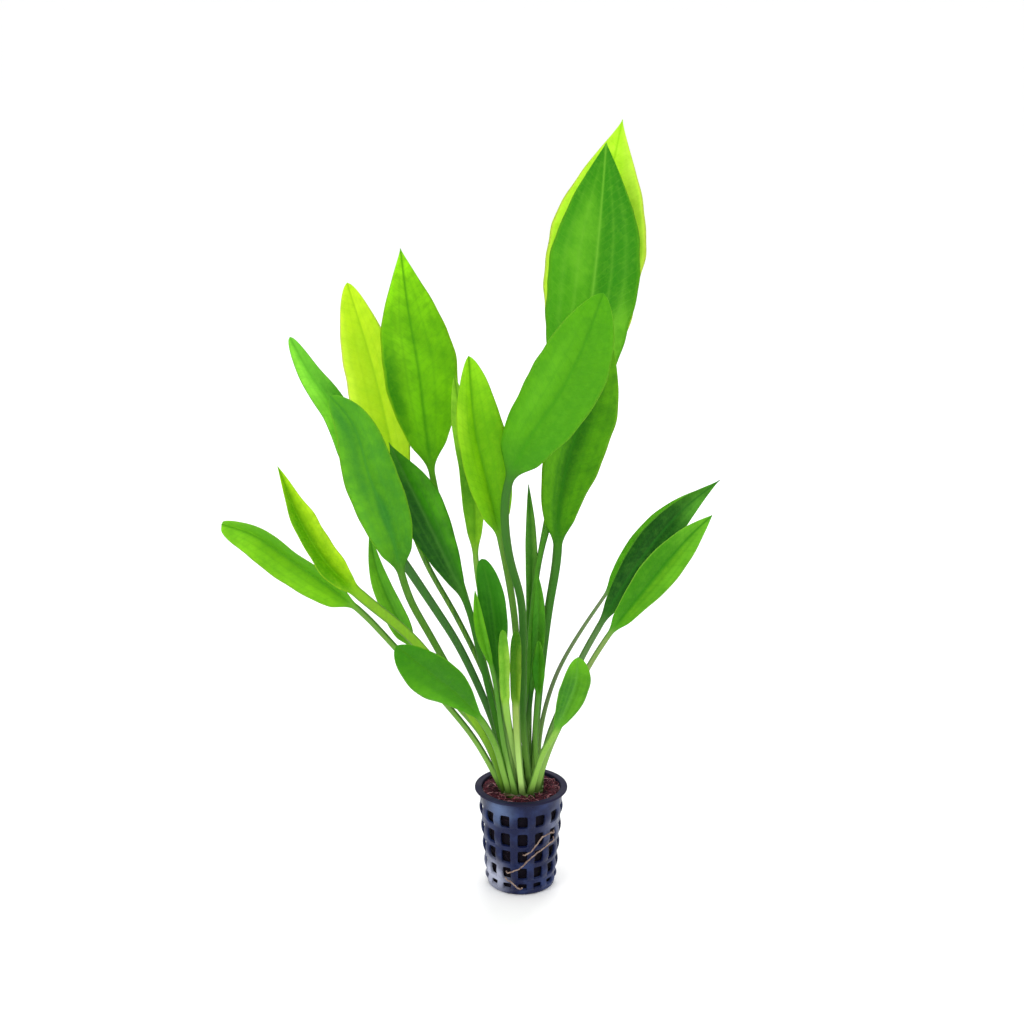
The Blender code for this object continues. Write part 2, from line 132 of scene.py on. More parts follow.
# Each leaf: where its stalk stands on the crown (ring, bearing in degrees from +X towards +Y),
# the stalk's route, the blade's route from neck to tip, then the blade's flat width, its swell
# (place of the widest part, slimness of the neck end, slimness of the tip end), the fold of each
# half, the turns about the midrib from neck to tip, the stalk's width and, where the margin is
# crinkled, its waves (share of the width in the blade's plane, height in millimetres out of it).
LEAVES = {
    "tall_back": dict(
        stands=("outer", 66),
        stalk=[(4.5, 14, 107), (5.6, 15.5, 160), (12.8, 18.5, 206)],
        blade=[(22, 23, 251), (33.6, 33, 287), (39, 45, 333), (47, 59, 386), (56, 70, 429)],
        width=58, swell=(0.60, 1.0, 1.15), fold=10, turns=(20, 22, 18), stalk_width=2.8,
    ),
    "tall_front": dict(
        stands=("inner", 48),
        stalk=[(4.5, 5, 98), (5.3, 6, 150), (10.4, 8, 195)],
        blade=[(22.5, 12, 239), (31, 20, 290), (39, 29, 341), (44, 41, 391), (46, 45, 419)],
        width=51.5, swell=(0.62, 1.15, 1.0), fold=8, turns=(14, 16, 12), stalk_width=3.2,
    ),
    "right_shade": dict(
        stands=("inner", 8),
        stalk=[(10.2, 2, 118), (15.2, 3, 165)],
        blade=[(20, 4, 198), (20.5, 5, 223), (26.5, 9, 253), (37, 10, 284), (49, 7, 315)],
        width=39, swell=(0.58, 0.85, 0.9), fold=14, turns=(-24, -22, -16), stalk_width=5.2,
    ),
    "front_slant": dict(
        stands=("inner", 328),
        stalk=[(1, -10, 104), (1, -14, 154), (-0.2, -16, 178), (-6.8, -19, 204)],
        blade=[(-7.5, -25, 246), (4.5, -29, 273.5), (19.5, -34, 297.5), (30, -39, 320), (41, -50, 354)],
        width=39, swell=(0.55, 0.58, 0.62), fold=8, turns=(20, 16, 10), stalk_width=4.8,
    ),
    "centre_bright": dict(
        stands=("heart", 250),
        stalk=[(-1.8, -4, 100), (-3.8, -9, 165)],
        blade=[(-11, -15, 211), (-18.3, -17, 245), (-24.5, -18, 272), (-27, -20, 297), (-28, -22, 315.5)],
        width=32, swell=(0.52, 0.8, 0.62), fold=30, turns=(-10, -25, -22), stalk_width=4.0,
    ),
    "centre_behind": dict(
        stands=("heart", 145),
        stalk=[(-11.5, 1, 112), (-20.2, 1, 160)],
        blade=[(-25.3, 2, 195), (-26, 5, 222), (-27.5, 8, 248), (-33, 10, 273), (-36.5, 12, 297)],
        width=14.5, swell=(0.50, 0.7, 0.7), fold=10, turns=(12, 10, 8), stalk_width=3.2,
    ),
    "left_tall": dict(
        stands=("inner", 128),
        stalk=[(-12, 8, 93), (-28, 13, 157), (-40.5, 19, 200)],
        blade=[(-49.5, 26, 235), (-53.5, 32, 262), (-57.3, 39, 294), (-63, 46, 327), (-67, 50, 360.5)],
        width=44, swell=(0.48, 0.95, 1.06), fold=12, turns=(-24, -20, -14), stalk_width=3.6,
    ),
    "left_back": dict(
        stands=("outer", 114),
        stalk=[(-9.5, 13, 88), (-20, 14.5, 120), (-36.6, 18, 155.7), (-54.4, 25, 187)],
        blade=[(-65, 34, 213), (-75, 48, 255), (-84.3, 61, 291), (-99, 75, 337)],
        width=37.5, swell=(0.48, 0.95, 0.62), fold=14, turns=(24, 24, 18), stalk_width=3.2,
    ),
    "left_inner": dict(
        stands=("inner", 168),
        stalk=[(-13, 0, 93), (-24, 2, 143)],
        blade=[(-30, 3, 168), (-38.5, 5, 186), (-47.6, 7, 206), (-59.5, 10, 231), (-73, 14, 259)],
        width=26.5, swell=(0.64, 1.05, 1.25), fold=14, turns=(-16, -10, 0), stalk_width=3.8,
    ),
    "left_twisted": dict(
        stands=("inner", 208),
        stalk=[(-16, -6, 84), (-34, -9, 122), (-51.5, -13, 158), (-61.3, -15, 178)],
        blade=[
            (-65, -17, 191), (-69.5, -19, 213), (-75, -20, 231), (-82.2, -21, 251),
            (-86, -21, 268), (-91, -20, 281), (-101.5, -19, 293),
        ],
        width=31, swell=(0.48, 0.72, 0.52), fold=20, turns=(-8, -14, -12, -6), stalk_width=4.2,
    ),
    "left_strap": dict(
        stands=("outer", 138),
        stalk=[(-15, 10, 91), (-26.5, 10, 122), (-37.5, 8.5, 146), (-48, 6, 164.5), (-62.8, 2, 190)],
        blade=[
            (-73.5, -1, 208), (-84, -5, 235), (-92.3, -8, 262), (-98.8, -10, 282),
            (-112.8, -12, 304), (-122.5, -14, 324),
        ],
        width=16.4, swell=(0.58, 0.8, 0.5), fold=14, turns=(-4, -6, 4), stalk_width=5.2,
    ),
    "far_left": dict(
        stands=("outer", 186),
        stalk=[(-27, -6, 92), (-45.6, -11, 119), (-69.8, -15, 149.8)],
        blade=[
            (-89, -15, 171.5), (-107, -13, 185.7), (-128, -9, 199.8),
            (-147, -6, 212.2), (-164.5, -4, 217.5),
        ],
        width=27.2, swell=(0.50, 0.6, 0.38), fold=30, turns=(15, 22, 12), stalk_width=3.6,
    ),
    "far_left_folded": dict(
        stands=("outer", 210),
        stalk=[(-18, -12, 89), (-34, -19, 119.5), (-58.8, -29, 159.4)],
        blade=[(-86, -38, 187.7), (-103, -43, 206.5), (-116, -47, 231), (-127, -50, 263)],
        width=20.5, swell=(0.40, 0.85, 0.85), fold=40, turns=(-20, -35, -30), stalk_width=6.0,
        waves=(0.05, 0.9),
    ),
    "front_spoon": dict(
        stands=("outer", 232),
        stalk=[(-10.4, -15, 76), (-14.3, -29, 97)],
        blade=[(-21, -41, 116), (-34, -54, 137), (-49, -68, 156), (-65, -80, 175)],
        width=26, swell=(0.63, 1.35, 0.55), fold=12, turns=(4, 2, 0), stalk_width=3.8,
    ),
    "left_low": dict(
        stands=("outer", 162),
        stalk=[(-19, 7, 82), (-44, 15, 112)],
        blade=[(-60.5, 23, 133), (-71.8, 30, 153), (-81.9, 36, 175), (-87, 40, 201)],
        width=14.4, swell=(0.30, 0.8, 1.0), fold=16, turns=(10, 8, 6), stalk_width=3.0,
    ),
    "young_oval": dict(
        stands=("inner", 248),
        stalk=[(-8, -11, 100)],
        blade=[(-11.8, -18, 129), (-14.4, -24, 163), (-16.6, -27, 184), (-21.5, -30, 206)],
        width=15.2, swell=(0.62, 0.9, 0.42), fold=10, turns=(-10, -10, -8), stalk_width=3.0,
    ),
    "young_narrow": dict(
        stands=("outer", 253),
        stalk=[(-9.5, -19, 92)],
        blade=[(-16, -27, 142), (-20, -32, 158), (-23, -36, 174), (-25, -39, 191)],
        width=6.8, swell=(0.50, 0.8, 0.8), fold=20, turns=(14, 12, 10), stalk_width=2.8,
    ),
    "new_left": dict(
        stands=("inner", 288),
        stalk=[(-5.1, -15, 92)],
        blade=[(-8.8, -26, 120), (-9.6, -35, 147), (-10.2, -40, 169)],
        width=6.8, swell=(0.60, 0.4, 0.3), fold=26, turns=(-10, -10, -10), stalk_width=4.4,
    ),
    "new_right": dict(
        stands=("outer", 275),
        stalk=[(-2, -18, 92)],
        blade=[(-3, -24, 118), (-2.9, -28, 147), (-2.8, -31, 165)],
        width=7.2, swell=(0.65, 0.4, 0.3), fold=26, turns=(12, 12, 12), stalk_width=4.4,
    ),
    "slim_upright": dict(
        stands=("inner", 88),
        stalk=[(3, 9, 98)],
        blade=[(4, 10, 145), (6, 11, 180), (5.2, 13, 214), (4, 14, 235)],
        width=7.4, swell=(0.50, 0.9, 0.8), fold=20, turns=(10, 8, 6), stalk_width=2.8,
    ),
    "short_upright": dict(
        stands=("heart", 15),
        stalk=[(3, -2, 83)],
        blade=[(5, -3, 114), (8.5, -3, 144), (9.5, -3, 172), (9, -2, 188)],
        width=8.5, swell=(0.60, 0.8, 0.8), fold=22, turns=(-16, -14, -10), stalk_width=3.0,
    ),
    "short_front": dict(
        stands=("outer", 341),
        stalk=[(8, -6, 99)],
        blade=[(9.5, -9, 118), (9.8, -10, 135), (9.6, -10.5, 152)],
        width=7.8, swell=(0.50, 0.8, 0.6), fold=22, turns=(12, 10, 8), stalk_width=2.8,
    ),
    "right_upper": dict(
        stands=("outer", 8),
        stalk=[(14, 0.5, 84), (24, -3, 114), (34.5, -4, 141)],
        blade=[(42.5, -3, 156), (54.5, 0, 177), (72, 4, 203), (91, 9, 223.8), (110, 15, 237.3)],
        width=20.8, swell=(0.53, 0.95, 1.15), fold=12, turns=(-8, -6, -4), stalk_width=3.6,
    ),
    "right_behind": dict(
        stands=("outer", 31),
        stalk=[(11.4, 9.5, 92), (21.2, 14, 125), (34, 19, 147)],
        blade=[(46.5, 23, 165), (58.5, 28, 182), (74.5, 34, 201), (90.5, 40, 213.5), (103, 45, 223)],
        width=16.2, swell=(0.58, 0.8, 0.7), fold=10, turns=(8, 6, 4), stalk_width=2.0,
    ),
    "right_lower": dict(
        stands=("outer", 319),
        stalk=[(15.5, -13, 87), (25.5, -24, 116), (35.5, -32, 143)],
        blade=[(46, -38, 164), (62.5, -44, 190), (79, -50, 214.5), (90, -53, 228.5), (99, -55, 238)],
        width=20.6, swell=(0.58, 0.8, 0.9), fold=10, turns=(-8, -6, -4), stalk_width=3.0,
    ),
    "right_spoon": dict(
        stands=("outer", 297),
        stalk=[(8.5, -20, 77), (12.5, -36, 97)],
        blade=[(18.5, -51, 115), (25, -62, 136), (28.6, -70, 151), (29.2, -76, 167)],
        width=16, swell=(0.66, 0.8, 0.5), fold=10, turns=(-10, -8, -6), stalk_width=4.2,
    ),
}

# Each leaf's greens: the left and right half of the blade, its tip, neck, margin and ribs, the
# stalk, and the deep and pale tones of its soft spots. Shades are the deep spots and glows the pale
# ones, each (across -1 to 1, share of the blade from neck 0 to tip 1, reach across, reach along,
# strength). The strength of the side veins, the colour of the stalk's base, the strength of that
# colour (foot) and the underside are given where they differ from the usual.
USUAL_GREENS = dict(shades=[], glows=[], veins=0.16, base="#8CBC54", foot=0.65, underside="#6A9C38")
# The greens and spots hold light and shade as well as each leaf's own colour: the two halves differ partly by
# how the light falls on the folded blade, the shade spots are painted shade (shadows of neighbouring leaves
# and folds turned from the light) and the glow spots painted light (light shining through the blade and its
# sheen), with some real patches of colour among them.
GREENS = {
    # Lime all over: partly the leaf's own light green, partly painted light shining through it from behind
    "tall_back": dict(
        left="#B2EE2E", right="#B4F128", tip="#BDF63C", neck="#86C82A", margin="#D6F86E", ribs="#98D81C",
        stalk="#4F8A2C", deep="#8CCB18", pale="#D9FA7A", glows=[(0.8, 0.75, 0.3, 0.3, 0.4)],
    ),
    "tall_front": dict(
        left="#469814", right="#2E7E06", tip="#237A06", neck="#5CAA22", margin="#64B82A", ribs="#74BA46",
        stalk="#4C8A2A", deep="#2C8408", pale="#74C03A", veins=0.14,
        shades=[(0.1, 0.92, 0.5, 0.14, 0.9), (0.55, 0.62, 0.3, 0.16, 0.6), (-0.5, 0.3, 0.3, 0.12, 0.3)],
        glows=[(-0.3, 0.72, 0.35, 0.16, 0.55), (0.75, 0.42, 0.3, 0.12, 0.9), (0.4, 0.26, 0.3, 0.10, 0.6)],
    ),
    "right_shade": dict(
        left="#468C08", right="#4E9606", tip="#5AA012", neck="#2E710B", margin="#78B822", ribs="#2A7408",
        stalk="#3E7426", deep="#1E6403", pale="#6CB41A",
        shades=[(0.05, 0.62, 0.28, 0.4, 0.95), (-0.2, 0.2, 0.3, 0.25, 0.5)],
        glows=[(-0.7, 0.35, 0.3, 0.3, 0.4)],
    ),
    "front_slant": dict(
        left="#4F9C0E", right="#4A9614", tip="#50A008", neck="#3A7A1C", margin="#6CBE32", ribs="#3F8F14",
        stalk="#3C6E28", deep="#3C8A1C", pale="#6CBC34",
        shades=[(0.0, 0.06, 0.6, 0.12, 0.7), (0.7, 0.15, 0.3, 0.18, 0.6)],
        glows=[(-0.5, 0.5, 0.3, 0.3, 0.35)],
    ),
    "centre_bright": dict(
        left="#72B80C", right="#66AE04", tip="#92DA22", neck="#58A41C", margin="#8ACB2C", ribs="#4F9A08",
        stalk="#6E9C40", deep="#57A20C", pale="#A0DC30", base="#B4DE7A",
        shades=[(0.15, 0.25, 0.3, 0.25, 0.5)], glows=[(-0.9, 0.66, 0.5, 0.14, 0.9)],
    ),
    "centre_behind": dict(
        left="#5C9E1E", right="#7CBA24", tip="#86C830", neck="#7EB52A", margin="#92D044", ribs="#4F8E18",
        stalk="#7AA848", deep="#3A7A14", pale="#9AD84A", base="#B4DE7A",
        shades=[(-0.3, 0.44, 1.1, 0.15, 0.9)], glows=[(0.0, 0.80, 1.4, 0.2, 0.85)],
    ),
    "left_tall": dict(
        left="#74C408", right="#70BC06", tip="#A0F418", neck="#5CA81A", margin="#8CCF1C", ribs="#3F8E08",
        stalk="#5A9026", deep="#2E7C02", pale="#8ED61C",
        # Painted shade: the dark strip along the left margin, which is folded back out of the light
        shades=[(-0.95, 0.40, 0.5, 0.24, 1.0), (0.0, 0.10, 0.5, 0.10, 0.3)],
        glows=[(-0.45, 0.62, 0.25, 0.3, 0.4)],
    ),
    # Lime all over: partly the leaf's own light green, partly painted light shining through it from behind
    "left_back": dict(
        left="#AED81C", right="#B0D81E", tip="#BEE822", neck="#96CE22", margin="#E2F486", ribs="#94C61C",
        stalk="#4C7A3C", deep="#94CC1E", pale="#D4F654", shades=[(0.1, 0.12, 0.7, 0.16, 0.6)],
        glows=[(-0.9, 0.55, 0.25, 0.4, 0.6)],
    ),
    "left_inner": dict(
        left="#16501E", right="#3F9814", tip="#3F9016", neck="#3C752F", margin="#4C9A24", ribs="#4E8A48",
        stalk="#3F7E22", deep="#1B5424", pale="#5CAE30", veins=0.04, base="#5CA028", foot=0.9,
        shades=[(-0.35, 0.55, 0.45, 0.3, 0.8), (0.3, 0.25, 0.4, 0.2, 0.6)],
        glows=[(0.7, 0.6, 0.3, 0.3, 0.8)],
    ),
    "left_twisted": dict(
        left="#58A222", right="#489020", tip="#52A026", neck="#3A7606", margin="#78C038", ribs="#3F8C3A",
        stalk="#5C8C34", deep="#2C7A38", pale="#6CBE3C",
        shades=[(0.0, 0.34, 0.2, 0.13, 0.95), (-0.35, 0.62, 0.22, 0.2, 0.5), (-0.5, 0.9, 0.3, 0.1, 0.6)],
        glows=[(-0.85, 0.45, 0.25, 0.3, 0.5), (0.4, 0.7, 0.35, 0.16, 0.3)],
    ),
    "left_strap": dict(
        left="#78D23E", right="#3C8822", tip="#70C646", neck="#46902A", margin="#6FAE54", ribs="#5CB03A",
        stalk="#4A763E", deep="#4CA032", pale="#92E858", base="#5C8C38",
        shades=[(0.3, 0.55, 0.3, 0.12, 0.6)], glows=[(-0.6, 0.8, 0.35, 0.2, 0.7)],
    ),
    "far_left": dict(
        left="#6EB408", right="#508E14", tip="#88D432", neck="#5CA41E", margin="#8CCB3E", ribs="#4A9619",
        stalk="#6B9440", deep="#4C9A1C", pale="#8AD42C", shades=[(0.55, 0.5, 0.62, 0.7, 0.7)],
        glows=[(-0.7, 0.5, 0.35, 0.5, 0.5)],
    ),
    "far_left_folded": dict(
        left="#4A9B05", right="#98CC0A", tip="#A8DC1A", neck="#86C21C", margin="#B4DE3C", ribs="#6CB008",
        stalk="#7CAE2C", deep="#469404", pale="#BEEA3A", base="#6A9A36",
        shades=[(-0.25, 0.48, 0.55, 0.5, 0.95)], glows=[(0.9, 0.55, 0.3, 0.35, 0.6)],
    ),
    "front_spoon": dict(
        left="#388204", right="#2C7200", tip="#307E06", neck="#4A9212", margin="#62B024", ribs="#3D8307",
        stalk="#6A9A36", deep="#2E7A0A", pale="#5CAE14", shades=[(0.3, 0.6, 0.5, 0.3, 0.4)],
        glows=[(-0.8, 0.45, 0.3, 0.3, 0.7)],
    ),
    "left_low": dict(
        left="#68B028", right="#5AA62C", tip="#5CA838", neck="#4A9016", margin="#78B44C", ribs="#3F8420",
        stalk="#6E9C3E", deep="#3A7C1C", pale="#74B644", shades=[(0.2, 0.3, 0.4, 0.3, 0.5)],
    ),
    "young_oval": dict(
        left="#1E6402", right="#206A02", tip="#2E7C14", neck="#2A6C1C", margin="#4A9A2A", ribs="#387E20",
        stalk="#5A8C38", deep="#1C5E0A", pale="#46962A", veins=0.06, base="#B4DE7A",
        shades=[(-0.3, 0.4, 0.5, 0.3, 0.6)], glows=[(0.8, 0.7, 0.3, 0.3, 0.3)],
    ),
    "young_narrow": dict(
        left="#5AA516", right="#5CA820", tip="#62AE2A", neck="#4E9418", margin="#7CC03A", ribs="#468C10",
        stalk="#5C9238", deep="#3E8810", pale="#7EC43C",
    ),
    "new_left": dict(
        left="#7CBA42", right="#94C656", tip="#4E9E24", neck="#8CBE4A", margin="#A8D46C", ribs="#6CAE3A",
        stalk="#90C052", deep="#3F8C1C", pale="#B0DA7A", base="#B4DE7A", foot=0.95,
        shades=[(0.0, 0.92, 1.2, 0.14, 0.8)], glows=[(0.2, 0.4, 0.5, 0.4, 0.5)],
    ),
    "new_right": dict(
        left="#447E12", right="#7CA83C", tip="#2E7C0C", neck="#7AA83C", margin="#8CBE50", ribs="#4E8A20",
        stalk="#98B256", deep="#266808", pale="#98C45A", base="#B4DE7A", foot=0.95,
        shades=[(-0.5, 0.5, 0.5, 0.4, 0.5), (0.0, 0.92, 1.2, 0.14, 0.8)],
    ),
    "slim_upright": dict(
        left="#4E9040", right="#639A4C", tip="#5C9A48", neck="#4A8832", margin="#78AE62", ribs="#3A7A2A",
        stalk="#4E8436", deep="#2E6A24", pale="#78AE62",
    ),
    "short_upright": dict(
        left="#36821A", right="#48941C", tip="#50982C", neck="#1F5E14", margin="#5CA040", ribs="#4C8E3A",
        stalk="#2E6420", deep="#12500E", pale="#529C34", shades=[(0.0, 0.25, 0.8, 0.3, 0.8)],
        glows=[(0.3, 0.75, 0.5, 0.2, 0.4)],
    ),
    "short_front": dict(
        left="#2C7A16", right="#44921E", tip="#58A02E", neck="#3E8420", margin="#6CB03E", ribs="#3A801A",
        stalk="#5C9638", deep="#1C6210", pale="#5CA830",
    ),
    "right_upper": dict(
        left="#064404", right="#0A4A06", tip="#448A20", neck="#2E6A22", margin="#5CA83A", ribs="#246A22",
        stalk="#5E7F4A", deep="#053F08", pale="#5CA844", veins=0.08, shades=[(0.0, 0.42, 0.9, 0.3, 0.8)],
        glows=[(0.5, 0.84, 0.8, 0.12, 0.6)],
    ),
    "right_behind": dict(
        left="#4CA01A", right="#3F8C1A", tip="#5CAC26", neck="#4A961E", margin="#72BC38", ribs="#3F8C14",
        stalk="#7C8466", deep="#2C7A10", pale="#66B42E", glows=[(-0.8, 0.5, 0.3, 0.4, 0.5)],
    ),
    "right_lower": dict(
        left="#387F0A", right="#5A9C14", tip="#6CB636", neck="#4A9A1C", margin="#82C44C", ribs="#2C7C08",
        stalk="#849A56", deep="#2E7E0A", pale="#68B830", shades=[(0.0, 0.5, 0.18, 0.35, 0.6)],
        glows=[(0.7, 0.6, 0.3, 0.3, 0.5)],
    ),
    "right_spoon": dict(
        left="#2E7018", right="#408000", tip="#5CA81E", neck="#5AA42A", margin="#74B83A", ribs="#5CA23C",
        stalk="#8CB84A", deep="#2C7A1C", pale="#6CB82A", veins=0.06, shades=[(-0.4, 0.4, 0.4, 0.3, 0.4)],
        glows=[(0.6, 0.4, 0.3, 0.3, 0.4)],
    ),
}

# Each root: a strand on the pot wall, as (bearing in degrees right of the front, height)
ROOTS = {
    "root_long": [
        (55.5, 33.5), (51, 33), (37, 31), (24, 28), (13, 25), (3, 20.5), (-9, 17), (-20, 15.2), (-24, 15),
    ],
    "root_loop": [(3, 26.5), (7, 27.6), (14, 29.5), (21, 33), (29, 37), (40, 38.5), (50, 38), (54, 38)],
    "root_short": [(-27, 11), (-22, 10.8), (-12, 8.4), (-6, 6), (-2, 5.2), (2, 5)],
}
ROOT_RADIUS = 0.48
ROOT_LIFT = 2.0
ROOT_SUNK = 0.3

# Soft lights: place, target and size in metres, and power in watts
LIGHTS = {
    "key": ((-1.1, -1.2, 1.5), (0, 0, 0.22), 0.8, 9.0),
    "fill": ((1.3, -0.7, 0.8), (0, 0, 0.15), 0.8, 2.5),
    "behind": ((0.2, 1.2, 1.3), (0, 0, 0.25), 1.0, 10.0),
}
ROOM_LIGHT = 1.02
FLOOR_HALF = 30
FLOOR_TONE = (0.985, 0.985, 0.985, 1)
# Camera: place in metres, degrees below the level, lens and sensor in millimetres
CAMERA_PLACE = (-0.0052, -1.0478, 0.5377)
CAMERA_TILT = 16.7
CAMERA_LENS = 70
CAMERA_SENSOR = 36

# Node settings used by several materials
BLEND = {"data_type": "RGBA"}
TINT = {"data_type": "RGBA", "blend_type": "MULTIPLY"}
SMOOTH = {"interpolation_type": "SMOOTHSTEP"}
MULTIPLY = {"operation": "MULTIPLY"}
MULTIPLY_ADD = {"operation": "MULTIPLY_ADD"}


def linear(code):
    """Linear red, green, blue and alpha of an sRGB hex code."""
    parts = np.array([int(code[i : i + 2], 16) for i in (1, 3, 5)]) / 255
    parts = np.where(parts <= 0.04045, parts / 12.92, ((parts + 0.055) / 1.055) ** 2.4)
    return (*parts.tolist(), 1.0)


def add(tree, kind, settings=None, links=None):
    """Adds one shader node with its settings; links maps an input to a value or to a node's output."""
    node = tree.nodes.new("ShaderNode" + kind)
    for key, value in (settings or {}).items():
        setattr(node, key, value)
    for key, value in (links or {}).items():
        if isinstance(value, bpy.types.NodeSocket):
            tree.links.new(value, node.inputs[key])
        else:
            node.inputs[key].default_value = value
    return node


def new_material(name):
    """An empty node material, as (material, tree)."""
    material = bpy.data.materials.new(name)
    material.use_nodes = True
    material.node_tree.nodes.clear()
    return material, material.node_tree


def set_stops(ramp, stops):
    """Gives a colour ramp its stops, each a place and an sRGB hex code."""
    elements = ramp.color_ramp.elements
    elements.remove(elements[1])
    elements[0].position, elements[0].color = stops[0][0], linear(stops[0][1])
    for place, code in stops[1:]:
        elements.new(place).color = linear(code)


def in_scene(name, data):
    """A new object with this data, linked to the scene."""
    thing = bpy.data.objects.new(name, data)
    bpy.context.scene.collection.objects.link(thing)
    return thing


def new_piece(name, points, faces, material, node=None, slot=None, shares=None):
    """A smooth mesh object riding on the root, from points in millimetres, faces and float attributes."""
    mesh = bpy.data.meshes.new(name)
    mesh.from_pydata((np.asarray(points) * MM).tolist(), [], faces)
    for key, values in (shares or {}).items():
        layer = mesh.attributes.new(key, "FLOAT", "POINT")
        layer.data.foreach_set("value", np.asarray(values, dtype=np.float32).ravel())
    mesh.shade_smooth()
    mesh.materials.append(material)
    piece = in_scene(name, mesh)
    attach(piece, "root")
    if node:
        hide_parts(node)
    return piece


def unit(rows):
    """Rows scaled to length 1."""
    return rows / np.linalg.norm(rows, axis=-1, keepdims=True)


def ease(values):
    """Smooth step from 0 to 1."""
    values = np.clip(values, 0, 1)
    return values * values * (3 - 2 * values)


def run_along(points):
    """Distance from the first point to each point along straight spans."""
    return np.concatenate(([0.0], np.cumsum(np.linalg.norm(np.diff(points, axis=0), axis=1))))


def read_off(at, run, rows):
    """Rows at other distances, read off straight spans between the rows known at run."""
    return np.stack([np.interp(at, run, column) for column in rows.T], axis=1)


def on_circle(radius, bearing, height):
    """Points about the pot's axis: bearing from the front, towards the right."""
    return np.stack(np.broadcast_arrays(radius * np.sin(bearing), -radius * np.cos(bearing), height), axis=-1)


def smooth_line(points, steps):
    """Dense points on a smooth cubic through the given points; each span gets the same steps."""
    points = np.array(points, dtype=float)
    knots = run_along(points)
    slopes = np.gradient(points, knots, axis=0)
    dense = []
    for i in range(len(points) - 1):
        span = knots[i + 1] - knots[i]
        t = np.linspace(0, 1, steps, endpoint=False)[:, None]
        dense.append(
            (2 * t**3 - 3 * t**2 + 1) * points[i]
            + (t**3 - 2 * t**2 + t) * span * slopes[i]
            + (3 * t**2 - 2 * t**3) * points[i + 1]
            + (t**3 - t**2) * span * slopes[i + 1]
        )
    dense.append(points[-1:])
    return np.concatenate(dense)


def soften(rows, reach):
    """Rows averaged with a bell curve over their neighbours; the two ends stay where they are."""
    width = int(3 * reach)
    bell = np.exp(-0.5 * (np.arange(-width, width + 1) / reach) ** 2)
    bell /= bell.sum()
    before = 2 * rows[0] - rows[width:0:-1]
    after = 2 * rows[-1] - rows[-2 : -width - 2 : -1]
    padded = np.concatenate((before, rows, after))
    return np.stack([np.convolve(column, bell, "valid") for column in padded.T], axis=1)


def ring_faces(rings, around):
    """Quads between successive rings of a grid, wrapping around, as an array of four indices."""
    index = np.arange(rings * around).reshape(rings, around)
    low, high = index[:-1], index[1:]
    return np.stack((low, high, np.roll(high, -1, 1), np.roll(low, -1, 1)), axis=-1).reshape(-1, 4)


def capped_tube(grid, ends):
    """Points and faces of a closed tube: rings (rings, around, 3) with a pole at each end."""
    rings, around = grid.shape[:2]
    points = np.concatenate((grid.reshape(-1, 3), ends))
    faces = ring_faces(rings, around).tolist()
    first = np.arange(around)
    last = first + (rings - 1) * around
    foot, tip = rings * around, rings * around + 1
    faces += np.stack((first, np.roll(first, -1), np.full(around, foot)), axis=-1).tolist()
    faces += np.stack((np.roll(last, -1), last, np.full(around, tip)), axis=-1).tolist()
    return points, faces


def joined(parts):
    """Several (points, faces) as one, with the faces' indices moved on."""
    starts = np.cumsum([0] + [len(points) for points, faces in parts[:-1]])
    joined_faces = []
    for start, (points, faces) in zip(starts.tolist(), parts):
        joined_faces += [[i + start for i in face] for face in faces]
    return np.concatenate([points for points, faces in parts]), joined_faces


# Leaves


def leaf_route(leaf):
    """Distances along the leaf, its route with the turn as a fourth column, and the neck's distance.

    The route is a smooth cubic through the foot, the stalk's points and the blade's points. It is
    read off at even distances, and softened over 5 mm together with the turns.
    """
    ring, bearing = leaf["stands"]
    angle = math.radians(bearing)
    foot = (RINGS[ring] * math.cos(angle), RINGS[ring] * math.sin(angle), LEAF_FOOT)
    dense = smooth_line([foot] + leaf["stalk"] + leaf["blade"], ROUTE_STEPS)
    run = run_along(dense)
    neck, length = run[ROUTE_STEPS * (len(leaf["stalk"]) + 1)], run[-1]
    even = np.linspace(0, length, ROUTE_POINTS)
    turns = leaf["turns"]
    turning = np.interp((even - neck) / (length - neck), np.linspace(0, 1, len(turns)), turns)
    line = np.column_stack((read_off(even, run, dense), turning))
    return even, soften(line, ROUTE_SOFTNESS / (length / ROUTE_POINTS)), neck


def leaf_frame(even, line, at):
    """Centre, way along, way across and way the face looks, at each distance along a leaf.

    Across is square to the route and to the view from the front, then both turn about the route.
    """
    centre = read_off(at, even, line[:, :3])
    along = unit(read_off(at, even, np.gradient(line[:, :3], even, axis=0)))
    across = unit(np.cross(along, (0.0, -1.0, 0.0)))
    facing = np.cross(across, along)
    turn = np.radians(np.interp(at, even, line[:, 3]))[:, None]
    turned_across = across * np.cos(turn) + facing * np.sin(turn)
    return centre, along, turned_across, facing * np.cos(turn) - across * np.sin(turn)


def blade_half_width(share, leaf):
    """Half of the blade's flat width: a sine that rises from the neck, then one that falls to the tip."""
    belly, neck_slim, tip_slim = leaf["swell"]
    rise = np.sin(math.pi / 2 * np.clip(share / belly, 0, 1)) ** neck_slim
    fall = np.sin(math.pi / 2 * np.clip((1 - share) / (1 - belly), 0, 1)) ** tip_slim
    return leaf["width"] / 2 * rise * fall


def spots(across, share, places):
    """Sum of soft flat-topped spots over the blade, each given by its place, reach and strength."""
    total = np.zeros(np.broadcast(across, share).shape)
    for u, s, reach_u, reach_s, strength in places:
        total += strength * np.exp(-((((across - u) / reach_u) ** 2 + ((share - s) / reach_s) ** 2) ** 1.6))
    return np.clip(total, 0, 1)


